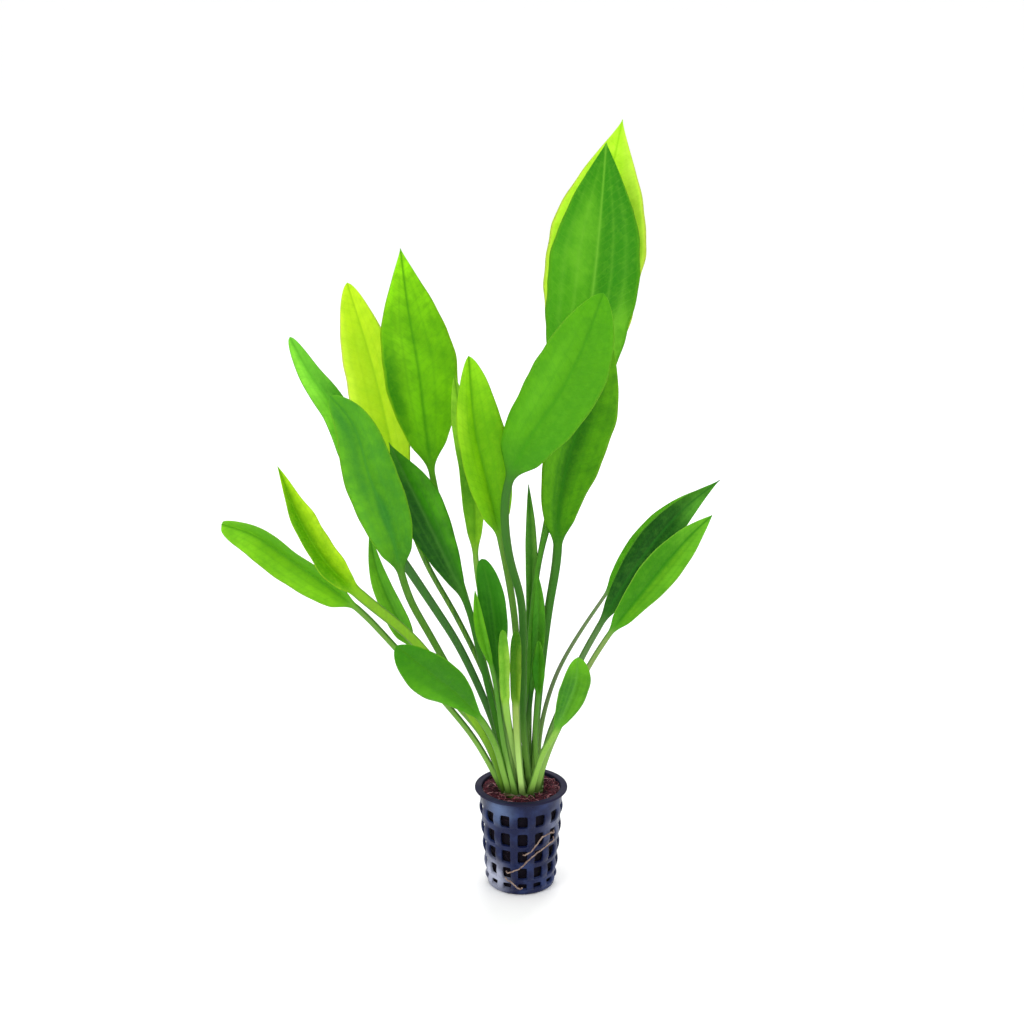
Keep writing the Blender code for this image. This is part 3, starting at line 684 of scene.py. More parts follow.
def leaf_surface(leaf, greens, seed):
    """Points, faces and attributes of one leaf.

    Two parameters: the distance along the smoothed route, and the place around the section. The
    section is a circle with a channel on the stalk. Over the first sixth of the blade it turns
    into two sheets that meet at the margins, whose height is fold + arch + ruffle + quilting, with
    a groove over and a keel under the midrib and four finer ribs beside it.
    """
    even, line, neck = leaf_route(leaf)
    length = even[-1]

    # Along the leaf: distance, share of the blade (negative on the stalk) and that share from 0
    on_stalk, on_blade, half_ring = WIDE_GRID if leaf["width"] > WIDE_LEAF else SLIM_GRID
    t = np.linspace(0, 1, on_blade + 1)
    blade_at = 0.7 * t + 0.3 * (1 - np.cos(math.pi * t)) / 2
    stalk_at = np.linspace(0, 1, on_stalk, endpoint=False) ** 1.25
    at = np.concatenate((stalk_at * neck, neck + (length - neck) * blade_at))
    centre, along, across_way, facing_way = leaf_frame(even, line, at)
    at = at[:, None]
    share = (at - neck) / (length - neck)
    blade = np.clip(share, 0, 1)

    # Around the section: u from the right margin 1 to the left -1 over the face, and back below
    v = np.linspace(1, -1, half_ring)
    v = np.concatenate((v, v[-2:0:-1]))
    side = np.concatenate((np.ones(half_ring), -np.ones(half_ring - 2)))
    side[[0, half_ring - 1]] = 0
    around = np.where(side >= 0, 1, -1) * (1 - v) * math.pi / 2
    u = (0.5 * v + 0.5 * v**3)[None, :]
    reach = np.abs(u)

    # The stalk goes from its foot's width to its own, and the blade grows out of it
    risen = np.clip(at / neck, 0, 1) ** 0.7
    stalk_radius = (STALK_FOOT + (leaf["stalk_width"] - STALK_FOOT) * risen) / 2
    flare = 1 + FOOT_FLARE * np.exp(-at / FLARE_REACH)
    half = blade_half_width(blade, leaf)
    half = np.sqrt(half**2 + (stalk_radius * ease(1 - blade / 0.5)) ** 2 + 0.25**2)

    # Waves along each margin, in the blade's plane and out of it
    in_plane, out_of_plane = leaf.get("waves", USUAL_WAVES)
    phases = np.random.default_rng(seed).uniform(0, 1, 6)
    count = max(2.0, (length - neck) / WAVE_LENGTH)

    def wave(pace, k):
        """Sine along the blade, `pace` times as fast as the longest wave, from its own phase k."""
        return np.sin(math.tau * (pace * count * share + phases[k]))

    left_wave = wave(1.0, 0) + 0.6 * wave(2.3, 1)
    right_wave = wave(1.1, 2) + 0.6 * wave(2.1, 3)
    inward = np.sin(math.pi * blade) ** 0.7
    wide = half * (1 + in_plane * inward * np.where(u > 0, right_wave, left_wave))
    flat_mm = u * wide

    # Height of the sheets: fold, arch, ruffle and the quilting between the side veins
    fold = math.radians(leaf["fold"])
    bend = np.sqrt(reach**2 + 0.05**2) - 0.05
    ruffle = out_of_plane * reach**2.5 * inward * np.where(u > 0, wave(0.9, 5), wave(0.8, 4))
    quilt = QUILT_HEIGHT * min(1.0, leaf["width"] / 30) * np.sin(math.pi * reach) * inward
    quilt = quilt * np.sin(math.tau * (at - 0.8 * np.abs(flat_mm)) / QUILT_STEP)
    lift = bend * wide * math.sin(fold) + ARCH * wide * np.sin(math.pi * reach) + ruffle + quilt

    # Thickness over and under, with the midrib's groove and keel and two finer ribs on each side
    midrib = np.exp(-((flat_mm / (0.35 + 0.5 * stalk_radius * (1 - 0.75 * blade))) ** 2))
    finer = 0
    for place, weight in FINER_RIBS:
        finer = finer + weight * np.exp(-(((reach - place) * wide / (0.30 + 0.008 * leaf["width"])) ** 2))
    finer = finer * inward
    slim = BLADE_THICKNESS / 2 * np.sqrt(np.clip(1 - reach**6, 0, 1)) * (1 - 0.5 * blade)
    keel = (stalk_radius * KEEL - slim) * np.clip(1 - share / 0.75, 0, 1) ** 1.6 * midrib + 0.18 * midrib
    over = slim - GROOVE * midrib * ease(blade / 0.1) - 0.05 * finer
    under = slim + keel + 0.06 * finer
    thick = np.where(side > 0, over, -under) * np.abs(side)

    # From the stalk's circle with its channel to the flat blade
    flat = ease(share / FLAT_FROM)
    channel = 1 - CHANNEL * np.clip(np.sin(around), 0, 1) ** 2
    round_x = stalk_radius * flare * np.cos(around)
    round_y = stalk_radius * flare * np.sin(around) * channel
    x = flat * flat_mm * math.cos(fold) + (1 - flat) * round_x
    y = flat * (lift + thick) + (1 - flat) * round_y
    grid = centre[:, None] + across_way[:, None] * x[..., None] + facing_way[:, None] * y[..., None]
    poles = np.stack((grid[0].mean(0), grid[-1].mean(0) + along[-1] * 0.25))
    points, faces = capped_tube(grid, poles)

    shares = {
        "across": u * flat,
        "share": share,
        "flat_mm": flat_mm * flat,
        "side_mm": at - 0.85 * np.abs(flat_mm) * flat,
        "ribs": np.clip((midrib + finer) * flat, 0, 1),
        "stalk": 1 - ease((share + 0.02) / 0.14),
        "edge": np.cos(around) ** 2,
        "rise": np.clip(at / 100, 0, 1),
        # Painted shade and painted light, with some real patches of colour: the deep and pale spots
        "shade": spots(u, share, greens["shades"]) * flat,
        "glow": spots(u, share, greens["glows"]) * flat,
        "under": (side < 0) * flat,
    }
    for key, values in shares.items():
        values = np.broadcast_to(values, x.shape)
        shares[key] = np.append(values, (values[0].mean(), values[-1].mean()))
    return points, faces, shares


def leaf_material(name, greens, attributes):
    """Living leaf blade: waxy skin over soft green tissue that lets a little light seep in.

    It gives a satin gloss, paler or darker ribs with fine side veins between them, a faint net of
    cells, a thin light margin and a duller underside, painted shade and painted light in soft spots
    over the blade, and painted shade on the stalk's edges and foot.
    """
    material, tree = new_material(name)
    seen = {}
    for key in attributes:
        seen[key] = add(tree, "Attribute", {"attribute_name": key}).outputs["Fac"]
    spot = add(tree, "TexCoord").outputs["Object"]
    from_midrib = add(tree, "Math", {"operation": "ABSOLUTE"}, {0: seen["across"]}).outputs[0]

    # Cloudy growth 12 mm across, patches of 5 mm and a fine grain of 2 mm
    cloud = add(tree, "TexNoise", None, {"Vector": spot, "Scale": 80.0, "Detail": 5.0}).outputs[0]
    patchy = add(tree, "TexNoise", None, {"Vector": spot, "Scale": 210.0, "Detail": 3.0}).outputs[0]
    grain = add(tree, "TexNoise", None, {"Vector": spot, "Scale": 520.0, "Detail": 2.0}).outputs[0]

    # Side veins about 5 mm apart that leave the midrib at a slant, bent a little by noise
    sway = add(tree, "Math", MULTIPLY, {0: cloud, 1: 7.0})
    bent = add(tree, "Math", {"operation": "ADD"}, {0: seen["side_mm"], 1: sway.outputs[0]})
    lines = {"voronoi_dimensions": "1D", "feature": "DISTANCE_TO_EDGE"}
    spacing = {"W": bent.outputs[0], "Scale": 1 / 5.0, "Randomness": 0.7}
    from_vein = add(tree, "TexVoronoi", lines, spacing).outputs["Distance"]

    # Net of cells 1.6 mm across, in line with the side veins
    plan = add(tree, "CombineXYZ", None, {0: seen["flat_mm"], 1: seen["side_mm"]})
    cells = {"Vector": plan.outputs[0], "Scale": 1 / 1.6}
    from_cell = add(tree, "TexVoronoi", {"feature": "DISTANCE_TO_EDGE"}, cells).outputs["Distance"]

    # Shares of the layers: what each is read from, where it is none and full, and how much is full
    shares = {
        "right": (seen["across"], -0.22, 0.22, 1.0),
        "tip": (seen["share"], 0.62, 1.0, 1.0),
        "neck": (seen["share"], 0.28, 0.0, 1.0),
        "cloudy": (cloud, 0.38, 0.66, 0.34),
        "darker": (patchy, 0.48, 0.66, 0.22),
        "lighter": (patchy, 0.50, 0.36, 0.10),
        "vein_lines": (from_vein, 0.11, 0.0, 1.0),
        "on_blade": (seen["share"], 0.05, 0.2, 1.0),
        "net": (from_cell, 0.14, 0.0, 1.0),
        "margin": (from_midrib, 0.90, 1.0, 0.85),
        # Painted shade on the stalk: at its edges, and deeper at its foot
        "stalk_edge_shade": (seen["edge"], 0.30, 1.0, 0.8),
        "stalk_foot": (seen["rise"], 0.60, 0.14, greens["foot"]),
        "buried_shade": (seen["rise"], 0.11, 0.01, 0.85),
    }
    for key, (source, none, full, most) in shares.items():
        links = {0: source, 1: none, 2: full, 4: most}
        shares[key] = add(tree, "MapRange", SMOOTH, links).outputs[0]
    grainy = add(tree, "MapRange", None, {0: grain, 1: 0.3, 2: 0.7, 4: 0.08}).outputs[0]
    veins = add(tree, "Math", MULTIPLY, {0: shares["vein_lines"], 1: shares["on_blade"]}).outputs[0]
    faint = {
        "veins": (veins, greens["veins"]),
        "net": (shares["net"], 0.06),
        "ribs": (seen["ribs"], 0.72),
        "under": (seen["under"], 0.5),
    }
    for key, (source, most) in faint.items():
        faint[key] = add(tree, "Math", MULTIPLY, {0: source, 1: most}).outputs[0]

    # The blade's layers over the green of its left half, from the first laid to the last
    layers = (
        (shares["right"], "right"),
        (shares["tip"], "tip"),
        (shares["neck"], "neck"),
        # Painted shade and painted light, with some real patches of colour: the deep and pale spots
        (seen["shade"], "deep"),
        (seen["glow"], "pale"),
        (shares["cloudy"], "deep"),
        (shares["darker"], "deep"),
        (shares["lighter"], "pale"),
        (grainy, "pale"),
        (faint["veins"], "ribs"),
        (faint["net"], "pale"),
        (faint["ribs"], "ribs"),
        (shares["margin"], "margin"),
        (faint["under"], "underside"),
    )
    tone = linear(greens["left"])
    for share, key in layers:
        tone = add(tree, "Mix", BLEND, {0: share, 6: tone, 7: linear(greens[key])}).outputs[2]
    # Leaf green takes up nearly all blue light
    tone = add(tree, "Mix", TINT, {0: 1.0, 6: tone, 7: (1.0, 1.0, 0.5, 1.0)}).outputs[2]

    # The stalk: streaks about 1 mm wide, pale and yellowish where it leaves the crown, painted shade
    # at its edges and darker painted shade at its foot, where the fibre hides it
    along = add(tree, "Mapping", None, {"Vector": spot, "Scale": (900.0, 900.0, 45.0)}).outputs[0]
    streaks = add(tree, "TexNoise", None, {"Vector": along, "Scale": 1.0, "Detail": 2.0}).outputs[0]
    light = add(tree, "MapRange", None, {0: streaks, 1: 0.35, 2: 0.7, 4: 0.45}).outputs[0]
    layers = (
        (light, greens["neck"]),
        (shares["stalk_foot"], greens["base"]),
        # Painted shade at the stalk's edges, and deeper painted shade at its foot among the fibre
        (shares["stalk_edge_shade"], "#3E6A22"),
        (shares["buried_shade"], "#2E4A14"),
    )
    stalk = linear(greens["stalk"])
    for share, code in layers:
        stalk = add(tree, "Mix", BLEND, {0: share, 6: stalk, 7: linear(code)}).outputs[2]
    tone = add(tree, "Mix", BLEND, {0: seen["stalk"], 6: tone, 7: stalk}).outputs[2]

    # Relief: veins sunk, the net between the cells sunk, fine skin
    relief = add(tree, "Math", MULTIPLY, {0: veins, 1: -0.6}).outputs[0]
    relief = add(tree, "Math", MULTIPLY_ADD, {0: shares["net"], 1: -0.35, 2: relief}).outputs[0]
    relief = add(tree, "Math", MULTIPLY_ADD, {0: grain, 1: 0.8, 2: relief}).outputs[0]
    bump = add(tree, "Bump", None, {"Strength": 0.5, "Distance": 0.00018, "Height": relief})
    gloss = add(tree, "MapRange", None, {0: cloud, 1: 0.3, 2: 0.7, 3: 0.40, 4: 0.54})
    skin = {
        "Base Color": tone,
        "Roughness": gloss.outputs[0],
        "IOR": 1.42,
        "Specular IOR Level": 0.12,
        "Subsurface Weight": 0.12,
        "Subsurface Radius": (0.8, 1.0, 0.4),
        "Subsurface Scale": 0.0003,
        "Normal": bump.outputs[0],
    }
    shader = add(tree, "BsdfPrincipled", None, skin)
    add(tree, "OutputMaterial", None, {"Surface": shader.outputs[0]})
    return material


def make_leaves():
    """Every leaf of the rosette, with its own surface and its own greens."""
    for seed, (name, leaf) in enumerate(LEAVES.items()):
        greens = {**USUAL_GREENS, **GREENS[name]}
        points, faces, shares = leaf_surface(leaf, greens, SEEDS["leaf"] + seed)
        material = leaf_material("living_leaf_" + name, greens, shares)
        new_piece(name + "_leaf", points, faces, material, "leaf_" + name, shares=shares)


# Net pot


def wall_radius(height):
    """Outer radius of the pot's plain wall at a height, in millimetres."""
    return FOOT_RADIUS + (TOP_RADIUS - FOOT_RADIUS) * (height / WALL_TOP)


# The pot's outline from the middle of its base out and up, by the distance run along it: outer
# radius and height, then inner radius and height.
FOOT_RUN = 19.84
OUTLINE_RUN = (0.0, 17.2, 18.0, 18.8, 19.4, FOOT_RUN, FOOT_RUN + WALL_TOP - FOOT_BEVEL)
OUTER_R = (0.0, 17.2, 18.0, 18.75, 19.15, wall_radius(FOOT_BEVEL), TOP_RADIUS)
OUTER_Z = (0.0, 0.0, 0.05, 0.32, 0.75, FOOT_BEVEL, WALL_TOP)
INNER_R = (0.0, 16.6, 17.2, 17.6, 17.8, wall_radius(FOOT_BEVEL) - WALL, TOP_RADIUS - WALL)
INNER_Z = (WALL, WALL, 1.45, 1.6, 1.9, 2.3, WALL_TOP)
# The ribs stop at the base, which ends at this run
BASE_RUN = 17.0

# The rim's rounded section, as (radius, height), from the outside of the wall to its inside
RIM_SECTION = (
    (TOP_RADIUS, WALL_TOP), (24.1, 58.45), (24.6, 58.5), (25.9, 58.6), (26.3, 58.68), (RIM_RADIUS, 58.95),
    (RIM_RADIUS, 59.55), (26.38, 59.85), (26.05, POT_HEIGHT), (25.4, 59.93), (24.2, 59.9), (23.1, POT_HEIGHT),
    (22.75, 59.88), (22.55, 59.55), (TOP_RADIUS - WALL, WALL_TOP),
)

# Rings of a window tile: share of the way from the window to the tile's edge, depth in the wall
TILE_LAYERS = (
    (1, 0), (0.66, 0), (0.33, 0), (0.10, 0), (0.02, 0.10), (0, 0.28),
    (0, 0.72), (0.02, 0.90), (0.10, 1), (0.5, 1), (1, 1),
)


def pot_surface(bearing, run, depth, ribbed=1.0):
    """Points of the pot's shell: bearing from the front, run along the outline, depth 0 outside to 1 inside.

    Radius = outline + a bulge at each row of windows + low ribs between the columns, in their
    share `ribbed`, that fade out through the wall and stop at the base.
    """
    bearing, run, depth = np.broadcast_arrays(bearing, run, depth)
    outlines = (OUTER_R, INNER_R, OUTER_Z, INNER_Z)
    outer_r, inner_r, outer_z, inner_z = (np.interp(run, OUTLINE_RUN, values) for values in outlines)
    radius = outer_r * (1 - depth) + inner_r * depth
    for low, high in WINDOW_ROWS:
        share = np.clip((outer_z - low) / (high - low), 0, 1)
        radius = radius + WINDOW_BULGE * np.sin(math.pi * share) ** 0.8
    rib = RIB_HEIGHT * np.cos((bearing - WINDOW_TURN) * COLUMNS + math.pi) * (run > BASE_RUN)
    radius = radius + rib * ribbed * (1 - depth)
    return on_circle(radius, bearing, outer_z * (1 - depth) + inner_z * depth)


def band_bearings():
    """Bearings around a plain band, in step with the edges of the window tiles."""
    around = COLUMNS * TILE_STEPS
    return WINDOW_TURN + np.arange(around) * math.tau / around - math.pi / COLUMNS


def window_tiles(low, high):
    """Every tile of the row of windows between two runs of the outline, as (points, faces).

    Two parameters: the place around the tile's edge, a square, and the way from that edge over
    the outer face to the window, a rounded rectangle, through the wall and back over the inner
    face. Point = window edge + (tile edge - window edge) x share, at a depth in the wall.
    """
    walk = np.linspace(-1, 1, TILE_STEPS, endpoint=False)
    flat = np.ones(TILE_STEPS)
    sides = ((walk, -flat), (flat, walk), (-walk, flat), (-flat, -walk))
    square = np.concatenate([np.stack(side, 1) for side in sides])
    rounded = square / ((np.abs(square) ** 8).sum(1) ** (1 / 8))[:, None]
    pitch = math.tau / COLUMNS
    middle, tall = (low + high) / 2, (high - low) / 2
    edge = square * (pitch / 2, tall + TILE_MARGIN) + (0, middle)
    opening = rounded * (WINDOW_HALF * pitch, tall) + (0, middle)
    share, depth = np.array(TILE_LAYERS).T
    way = opening + (edge - opening) * share[:, None, None]
    columns = np.arange(COLUMNS)[:, None, None]
    points = pot_surface(WINDOW_TURN + way[..., 0] + columns * pitch, way[..., 1], depth[:, None])
    faces = ring_faces(len(share), len(square))[None] + columns * len(share) * len(square)
    return points.reshape(-1, 3), faces.reshape(-1, 4).tolist()


def plain_band(low, high, rows):
    """A band without windows between two runs of the outline, outer and inner face, as (points, faces)."""
    bearing = band_bearings()
    run = np.linspace(low, high, rows + 1)[:, None]
    ribbed = 1 - np.clip(np.minimum(run - low, high - run) / RIB_FADE, 0, 1)
    walls = [pot_surface(bearing, run, depth, ribbed).reshape(-1, 3) for depth in (0.0, 1.0)]
    faces = ring_faces(rows + 1, len(bearing))
    return np.concatenate(walls), np.concatenate((faces, faces[:, ::-1] + len(walls[0]))).tolist()


def rim_flange():
    """The flat rim turned about the axis from its rounded section, joining the outer and inner wall."""
    radius, height = np.array(RIM_SECTION).T[:, :, None]
    points = on_circle(radius, band_bearings(), height)
    return points.reshape(-1, 3), ring_faces(*points.shape[:2]).tolist()


def pot_material():
    """Moulded polypropylene, dyed blue-black.

    It gives a soft plastic gloss with faint flow marks from the mould, lime bloom from hard water
    in cloudy patches and a fine grain, with painted reflections of the light on its sides, a paler
    patch low on the left and painted shade on the rim.
    """
    material, tree = new_material("moulded_polypropylene")
    spot = add(tree, "TexCoord").outputs["Object"]
    # Bloom in patches of about 12 mm
    patches = {"Vector": spot, "Scale": 85.0, "Detail": 4.0, "Roughness": 0.6}
    cloud = add(tree, "TexNoise", None, patches).outputs[0]
    bloom = add(tree, "MapRange", SMOOTH, {0: cloud, 1: 0.42, 2: 0.72, 4: 0.5}).outputs[0]
    # Flow marks 1.5 mm wide that run up the wall
    flow = add(tree, "Mapping", None, {"Vector": spot, "Scale": (650.0, 650.0, 60.0)}).outputs[0]
    marks = add(tree, "TexNoise", None, {"Vector": flow, "Scale": 1.0, "Detail": 2.0}).outputs[0]
    marked = add(tree, "MapRange", None, {0: marks, 1: 0.3, 2: 0.7, 4: 0.25}).outputs[0]
    layers = [(bloom, "#36497C"), (marked, "#10163A")]
    # Paler patches, broken up by the bloom: painted reflections of the light on the pot's sides, and a paler
    # patch low on the left
    for centre, reach, code, strength in POT_SHEEN_AND_PALE_PATCHES:
        centre = np.multiply(centre, MM).tolist()
        away = add(tree, "VectorMath", {"operation": "DISTANCE"}, {0: spot, 1: centre}).outputs["Value"]
        patch = add(tree, "MapRange", SMOOTH, {0: away, 1: reach * MM, 2: 0.0, 4: strength}).outputs[0]
        uneven = add(tree, "Math", MULTIPLY, {0: patch, 1: bloom}).outputs[0]
        uneven = add(tree, "Math", MULTIPLY_ADD, {0: patch, 1: 0.6, 2: uneven}).outputs[0]
        layers.append((uneven, code))
    # Painted shade: the rim is darker than the same plastic below it, and rougher
    height = add(tree, "SeparateXYZ", None, {0: spot}).outputs[2]
    shaded_rim = add(tree, "MapRange", SMOOTH, {0: height, 1: 0.0578, 2: 0.0588, 4: 0.85}).outputs[0]
    layers.append((shaded_rim, "#15102B"))
    tone = linear("#0F173C")
    for share, code in layers:
        tone = add(tree, "Mix", BLEND, {0: share, 6: tone, 7: linear(code)}).outputs[2]
    grain = add(tree, "TexNoise", None, {"Vector": spot, "Scale": 2600.0, "Detail": 2.0})
    bump = add(tree, "Bump", None, {"Strength": 0.25, "Distance": 0.0001, "Height": grain.outputs[0]})
    gloss = add(tree, "MapRange", None, {0: cloud, 1: 0.35, 2: 0.7, 3: 0.24, 4: 0.46})
    rougher = add(tree, "Math", MULTIPLY_ADD, {0: shaded_rim, 1: 0.45, 2: gloss.outputs[0]})
    plastic = {
        "Base Color": tone,
        "Roughness": rougher.outputs[0],
        "IOR": 1.49,
        "Specular IOR Level": 0.2,
        "Normal": bump.outputs[0],
    }
    shader = add(tree, "BsdfPrincipled", None, plastic)
    add(tree, "OutputMaterial", None, {"Surface": shader.outputs[0]})
    return material


def make_pot():
    """The pot's shell from the rim down: plain bands and rows of window tiles that share their edges."""
    parts = [rim_flange()]
    above = OUTLINE_RUN[-1]
    windows = [(FOOT_RUN + low - FOOT_BEVEL, FOOT_RUN + high - FOOT_BEVEL) for low, high in WINDOW_ROWS]
    for low, high in windows + [BASE_SLOT]:
        parts.append(plain_band(high + TILE_MARGIN, above, 6))
        parts.append(window_tiles(low, high))
        above = low - TILE_MARGIN
    parts.append(plain_band(0.0, above, 5))
    points, faces = joined(parts)
    pot = new_piece("net_pot", points, faces, pot_material(), "pot")
    shell = bmesh.new()
    shell.from_mesh(pot.data)
    bmesh.ops.remove_doubles(shell, verts=shell.verts, dist=MERGE)
    bmesh.ops.dissolve_degenerate(shell, edges=shell.edges, dist=1e-7)
    bmesh.ops.recalc_face_normals(shell, faces=shell.faces)
    shell.to_mesh(pot.data)
    shell.free()
    pot.data.shade_smooth()
    pot.data.set_sharp_from_angle(angle=SHARP_EDGE)


# Fibre, crown and roots


def lumps(grid, waves, seed):
    """Smooth irregular field from -1 to 1: a sum of sines in random directions, each with its wavelength."""
    rng = np.random.default_rng(seed)
    x, y, z = grid[..., 0], grid[..., 1], grid[..., 2]
    total = 0.0
    for wavelength in waves:
        way = unit(rng.normal(size=3)) * math.tau / wavelength
        total = total + np.sin(way[0] * x + way[1] * y + way[2] * z + rng.uniform(0, math.tau))
    return total / len(waves)


def turned_piece(outline, around, relief, name, material, node):
    """A closed solid: an outline of (radius, height) from top to bottom, turned and moved by relief."""
    outline = np.array(outline, dtype=float)
    bearing = np.arange(around) * math.tau / around
    radius, height = outline[1:-1, 0][:, None], outline[1:-1, 1][:, None]
    grid = np.stack((radius * np.cos(bearing), radius * np.sin(bearing), height + 0 * bearing), axis=-1)
    relief(grid)
    poles = np.array([(0, 0, outline[0, 1]), (0, 0, outline[-1, 1])])
    points, faces = capped_tube(grid[:, ::-1], poles)
    return new_piece(name, points, faces, material, node)


def plug_material():
    """Coconut fibre, shredded and damp: thin wiry strands, dark between brown lights, with painted shade that
    turns them nearly black below the top.
    """
    material, tree = new_material("damp_coconut_fibre")
    spot = add(tree, "TexCoord").outputs["Object"]
    # Tangled strands, drawn 1.6 mm wide to show, from noise that is bent by broader noise
    broad = add(tree, "TexNoise", None, {"Vector": spot, "Scale": 160.0, "Detail": 2.0})
    bent = add(tree, "Mix", {"data_type": "VECTOR"}, {0: 0.02, 4: spot, 5: broad.outputs["Color"]})
    tangle = {"Vector": bent.outputs[1], "Scale": 620.0, "Detail": 5.0, "Roughness": 0.7}
    strands = add(tree, "TexNoise", None, tangle).outputs[0]
    ramp = add(tree, "ValToRGB", None, {0: strands})
    set_stops(ramp, ((0.38, "#1E0A14"), (0.55, "#4A1424"), (0.72, "#823242")))
    patches = add(tree, "MapRange", None, {0: broad.outputs[0], 1: 0.35, 2: 0.65, 4: 0.6}).outputs[0]
    # Nearly black in the shade of the pot's wall
    height = add(tree, "SeparateXYZ", None, {0: spot}).outputs[2]
    shaded = add(tree, "MapRange", None, {0: height, 1: 0.0562, 2: 0.0545, 4: 0.97}).outputs[0]
    tone = ramp.outputs[0]
    for share, code in ((patches, "#1E0A14"), (shaded, "#090714")):
        tone = add(tree, "Mix", BLEND, {0: share, 6: tone, 7: linear(code)}).outputs[2]
    bump = add(tree, "Bump", None, {"Strength": 0.9, "Distance": 0.0006, "Height": strands})
    fibre = {"Base Color": tone, "Roughness": 0.8, "Specular IOR Level": 0.15, "Normal": bump.outputs[0]}
    shader = add(tree, "BsdfPrincipled", None, fibre)
    add(tree, "OutputMaterial", None, {"Surface": shader.outputs[0]})
    return material


def plug_relief(grid):
    """Lumps of 3 to 9 mm: up and down on the top outside the crown, inwards on the side."""
    x, y, z = grid[..., 0], grid[..., 1], grid[..., 2]
    radius = np.hypot(x, y)
    field = lumps(grid, (3.1, 3.7, 4.6, 5.9, 7.3, 9.1), SEEDS["plug"])
    on_top = ease((z - 55.5) / 0.8) * ease((radius - 13) / 3)
    on_side = ease((radius - 16) / 2) * (1 - on_top) * ease((z - 2.1) / 1.0)
    inwards = 1 - 0.5 * (1 + field) * on_side / radius
    grid[..., :2] *= inwards[..., None]
    grid[..., 2] += 0.9 * field * on_top


def make_fibre_plug():
    """The plug of fibre inside the pot's wall: flat under the crown, banked up towards the wall."""
    top = wall_radius(56.0) - WALL - PLUG_GAP
    foot = wall_radius(2.0) - WALL - PLUG_GAP
    outline = [(0, PLUG_TOP)]
    for r in np.linspace(1, top, 26):
        outline.append((r, PLUG_TOP + PLUG_BANK * ease((r - 13.8) / 3) - 0.2 * ease((r - 19) / 3)))
    outline += [(foot + (top - foot) * t, 2.4 + 53.8 * t) for t in np.linspace(0.98, 0.0, 44)]
    outline += [(foot * t, PLUG_FOOT) for t in np.linspace(0.97, 0.1, 8)]
    outline.append((0, PLUG_FOOT))
    turned_piece(outline, 160, plug_relief, "fibre_plug", plug_material(), "soil")


def wiry_tube(path, radius, sides):
    """Rings of a thin tube along a path (points, 3), its radius one value per point."""
    tangent = unit(np.gradient(path, axis=0))
    helper = np.where(np.abs(tangent[:, 2:3]) > 0.9, (1.0, 0.0, 0.0), (0.0, 0.0, 1.0))
    over = unit(np.cross(tangent, helper))
    beside = np.cross(tangent, over)
    turn = np.arange(sides) * math.tau / sides
    ring = over[:, None] * np.cos(turn)[None, :, None] + beside[:, None] * np.sin(turn)[None, :, None]
    return path[:, None] + ring * np.asarray(radius)[:, None, None]


def strand_material():
    """Coconut fibre, dry at its ends: dull single strands, each with its own brown."""
    material, tree = new_material("dry_coconut_strand")
    own = add(tree, "Attribute", {"attribute_name": "tint"})
    ramp = add(tree, "ValToRGB", None, {0: own.outputs["Fac"]})
    set_stops(ramp, ((0.25, "#3A1420"), (0.7, "#7A3440"), (1.0, "#B9858C")))
    spot = add(tree, "TexCoord").outputs["Object"]
    # Painted shade: nearly black below the plug's top, in the shade of the pot's wall
    height = add(tree, "SeparateXYZ", None, {0: spot}).outputs[2]
    shaded = add(tree, "MapRange", None, {0: height, 1: 0.057, 2: 0.0545, 4: 0.95}).outputs[0]
    tone = add(tree, "Mix", BLEND, {0: shaded, 6: ramp.outputs[0], 7: linear("#0E0A18")})
    fibre = {"Base Color": tone.outputs[2], "Roughness": 0.7, "Specular IOR Level": 0.2}
    shader = add(tree, "BsdfPrincipled", None, fibre)
    add(tree, "OutputMaterial", None, {"Surface": shader.outputs[0]})
    return material


def strand_paths():
    """Path, thickness and tint of each loose strand.

    A strand is a curve that starts at a random place and turns steadily from a random heading. On
    top of the plug it is kept inside the wall and humped; behind the windows it is wrapped onto
    the wall's inside.
    """
    rng = np.random.default_rng(SEEDS["strands"])
    marks = len(STRAND_TAPER)
    along = np.linspace(-0.5, 0.5, marks)
    on_top = np.arange(STRANDS) < STRANDS_ON_TOP
    bearing = rng.uniform(0, math.tau, STRANDS)
    radius = np.where(on_top, rng.uniform(14.0, 21.4, STRANDS), 0)
    height = rng.uniform(3.5, 50, STRANDS)
    heading = rng.uniform(0, math.tau, STRANDS)
    length = rng.uniform(4, 13, STRANDS)
    bend = rng.uniform(-1.6, 1.6, STRANDS)
    hump = rng.uniform(0.1, 1.5, STRANDS) ** 1.5
    thick = rng.uniform(0.09, 0.26, STRANDS)
    tint = rng.uniform(0, 1, STRANDS)

    way = heading[:, None] + bend[:, None] * along
    over = np.cumsum(np.cos(way) * length[:, None] / marks, 1)
    up = np.cumsum(np.sin(way) * length[:, None] / marks, 1)
    x = (radius * np.cos(bearing))[:, None] + over
    y = (radius * np.sin(bearing))[:, None] + up
    squeeze = np.minimum(1, (wall_radius(57.0) - WALL - 0.5) / np.hypot(x, y))
    z = STRAND_LEVEL + 0.8 * hump[:, None] * np.cos(math.pi * along)
    top = np.stack((x * squeeze, y * squeeze, z), axis=-1)
    side_height = np.clip(height[:, None] + up, 3.0, 51.0)
    side_radius = wall_radius(side_height) - WALL - 0.35
    side = on_circle(side_radius, bearing[:, None] + over / 20, side_height)
    return np.where(on_top[:, None, None], top, side), thick, tint


def make_fibre_strands():
    """Loose strands on top of the plug and behind the windows, each a thin tube on its path."""
    parts, tints = [], []
    for path, thick, tint in zip(*strand_paths()):
        grid = wiry_tube(path, thick * np.array(STRAND_TAPER), 4)
        parts.append(capped_tube(grid, path[[0, -1]]))
        tints.append(np.full(len(parts[-1][0]), tint))
    shares = {"tint": np.concatenate(tints)}
    new_piece("fibre_strands", *joined(parts), strand_material(), slot="soil", shares=shares)


